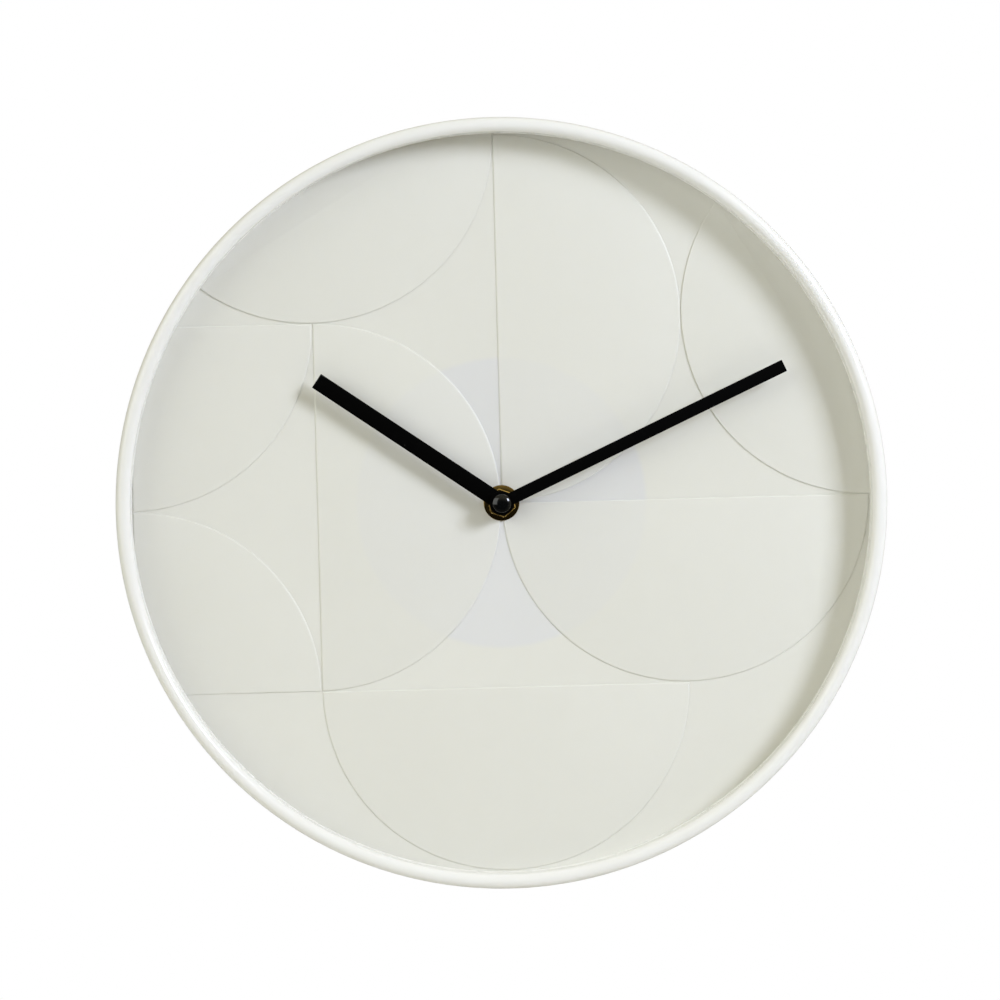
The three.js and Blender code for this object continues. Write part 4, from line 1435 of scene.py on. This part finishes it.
class CLOCK_OT_works(bpy.types.Operator):
    """Gives the wheels, the drive coil and the other inner pieces their finishes."""

    bl_idname = "clock.works"
    bl_label = "Works"

    def execute(self, context):
        metal = context.scene.clock_metal
        wheel = nylon("wheel nylon")
        steel = plated_steel("soft iron", (0.5, 0.5, 0.51), 0.3)
        finishes = {
            "dial_foam_ring": soft_black("foam tape", "foam", (0.6, 0.6, 0.57), 0.8, 0.4),
            "stator": steel,
            "coil_core": steel,
            "coil_bobbin": wheel,
            "coil_winding": wound_copper(),
            "circuit_board": solder_mask(),
            "quartz_crystal": plated_steel("crystal can", (0.66, 0.66, 0.64), 0.18),
            "rotor_magnet": plated_steel("rotor magnet", (0.32, 0.32, 0.34), 0.3),
            "cannon_arbor": turned_brass("arbor brass", metal.brass, metal.tarnish),
            "rotor_pinion": wheel,
            **{name: wheel for name in frame["nodes"] if name.endswith("_wheel")},
        }
        for name, material in finishes.items():
            mesh_object = frame["nodes"][name]
            mesh_object.data.materials.clear()
            mesh_object.data.materials.append(material)
        return {"FINISHED"}


# ------------------------------------------------------------------ stage


def area_light(name, direction, distance, size, power, colour, aim):
    """A soft oblong light that looks at the aim from a direction."""
    data = bpy.data.lights.new(name, "AREA")
    data.shape = "RECTANGLE"
    data.size, data.size_y = size
    data.energy = power
    data.color = colour
    light = bpy.data.objects.new(name, data)
    away = Vector(direction).normalized()
    light.location = aim + away * distance
    light.rotation_euler = away.to_track_quat("Z", "Y").to_euler()
    bpy.context.scene.collection.objects.link(light)
    return light


class CLOCK_OT_stage(bpy.types.Operator):
    """Sets up the camera, the lights, the sky and the floor."""

    bl_idname = "clock.stage"
    bl_label = "Stage"

    def execute(self, context):
        scene = context.scene
        stage = scene.clock_stage
        scene.view_settings.view_transform = "Standard"
        aim = Vector((ARBOR.x, -(CASE_FRONT - LIP_RADIUS) * MM, ARBOR.z))
        self.camera(scene, stage, aim)
        self.floor(stage)
        self.sky(scene, stage)
        lights = (
            ("key light", (1.2, -1.0, 0.67), 1.7, (0.5, 0.5), stage.key, (0.81, 0.86, 1.0)),
            ("side light", (-1.31, -1.0, 0.45), 2.0, (2.0, 1.6), stage.side, (0.97, 1.0, 0.96)),
            ("front light", (0.0, -1.0, 0.1), 2.4, (2.6, 2.6), stage.front, (1.0, 0.95, 0.78)),
            ("back light", (0.1, 1.0, 0.25), 2.2, (1.2, 1.2), stage.back, (1.0, 0.98, 0.94)),
        )
        for name, *rest in lights:
            light = area_light(name, *rest, aim)
            if name in ("front light", "back light"):
                light.visible_glossy = False
                light.visible_camera = False
        return {"FINISHED"}

    def camera(self, scene, stage, aim):
        data = bpy.data.cameras.new("camera")
        data.sensor_width = 36.0
        data.shift_x, data.shift_y = -0.002, 0.0035  # the clock hangs a little off the middle
        data.lens = stage.fill * data.sensor_width * stage.distance / (2 * CASE_RADIUS * MM)
        camera = bpy.data.objects.new("camera", data)
        towards = Vector(
            (
                math.sin(stage.azimuth) * math.cos(stage.elevation),
                -math.cos(stage.azimuth) * math.cos(stage.elevation),
                math.sin(stage.elevation),
            )
        )
        camera.location = aim + towards * stage.distance
        look = towards.to_track_quat("Z", "Y").to_matrix()
        lean = Euler((0.0, 0.0, -stage.roll)).to_matrix()
        camera.rotation_euler = (look @ lean).to_euler()
        scene.collection.objects.link(camera)
        scene.camera = camera

    def floor(self, stage):
        """A round pale floor below the clock."""
        floor_z = ARBOR.z - CASE_RADIUS * MM - stage.floor_drop
        floor_radius = 1.3
        form = bmesh.new()
        bmesh.ops.create_circle(form, cap_ends=True, segments=128, radius=floor_radius)
        bmesh.ops.translate(form, verts=form.verts, vec=(0.0, 0.0, floor_z))
        mesh = bpy.data.meshes.new("floor")
        form.to_mesh(mesh)
        form.free()
        paint = Paint(bpy.data.materials.new("pale floor"))
        cloud = paint.noise(120.0, 3.0)
        base = paint.mix(cloud, shaded(stage.floor, 0.985), stage.floor)
        mesh.materials.append(paint.surface(Base_Color=base, Roughness=0.6 + cloud * 0.1))
        floor = bpy.data.objects.new("floor", mesh)
        bpy.context.scene.collection.objects.link(floor)
        floor.visible_glossy = False

    def sky(self, scene, stage):
        """A white sky, bright above and dim in front, that is plain white behind the object."""
        world = bpy.data.worlds.new("studio")
        scene.world = world
        paint = Paint(world)
        direction = paint.node("ShaderNodeTexCoord", output="Generated")
        x, y, z = paint.coordinates(direction)
        front = paint.step(y * -1.0, 0.3, 0.78) * (1.0 - paint.step(z, 0.05, 0.5) * 0.8)
        above_right = paint.step(x * 0.45 + z, -0.7, 0.9)
        behind = paint.step(y, 0.1, 0.8)
        strength = (0.3 + above_right * 0.95) * (1.0 - front * 0.93) * (1.0 - behind * 0.5)
        strength = strength * stage.sky
        light = paint.node("ShaderNodeBackground", inputs={0: (1.0, 0.945, 0.7, 1.0), 1: strength})
        backdrop = paint.node("ShaderNodeBackground", inputs={0: (1.0, 1.0, 1.0, 1.0), 1: 1.0})
        seen = paint.node("ShaderNodeLightPath", output="Is Camera Ray")
        mixed = paint.node("ShaderNodeMixShader", inputs={0: seen, 1: light, 2: backdrop})
        paint.node("ShaderNodeOutputWorld", inputs={"Surface": mixed})


# ------------------------------------------------------------------ add-on


OPERATORS = (
    CLOCK_OT_stage,
    CLOCK_OT_case_ring,
    CLOCK_OT_back_pan,
    CLOCK_OT_pan_screws,
    CLOCK_OT_dial,
    CLOCK_OT_fixing_stack,
    CLOCK_OT_hands,
    CLOCK_OT_centre_cap,
    CLOCK_OT_movement_housing,
    CLOCK_OT_battery,
    CLOCK_OT_setting_knob,
    CLOCK_OT_works,
)


class CLOCK_PT_sidebar(bpy.types.Panel):
    """Lists the clock's settings and the steps that build it."""

    bl_label = "Wall Clock"
    bl_idname = "CLOCK_PT_sidebar"
    bl_space_type = "VIEW_3D"
    bl_region_type = "UI"
    bl_category = "Wall Clock"

    def draw(self, context):
        for operator in OPERATORS:
            self.layout.operator(operator.bl_idname)
        for name in SETTINGS:
            settings = getattr(context.scene, name)
            box = self.layout.box()
            for key in settings.__annotations__:
                box.prop(settings, key)


CLASSES = (*SETTINGS.values(), *OPERATORS, CLOCK_PT_sidebar)


def register():
    for cls in CLASSES:
        bpy.utils.register_class(cls)
    for name, cls in SETTINGS.items():
        setattr(bpy.types.Scene, name, PointerProperty(type=cls))


def unregister():
    for name in SETTINGS:
        delattr(bpy.types.Scene, name)
    for cls in reversed(CLASSES):
        bpy.utils.unregister_class(cls)


def main():
    register()
    for operator in OPERATORS:
        group, name = operator.bl_idname.split(".")
        getattr(getattr(bpy.ops, group), name)()


if __name__ == "__main__":
    main()
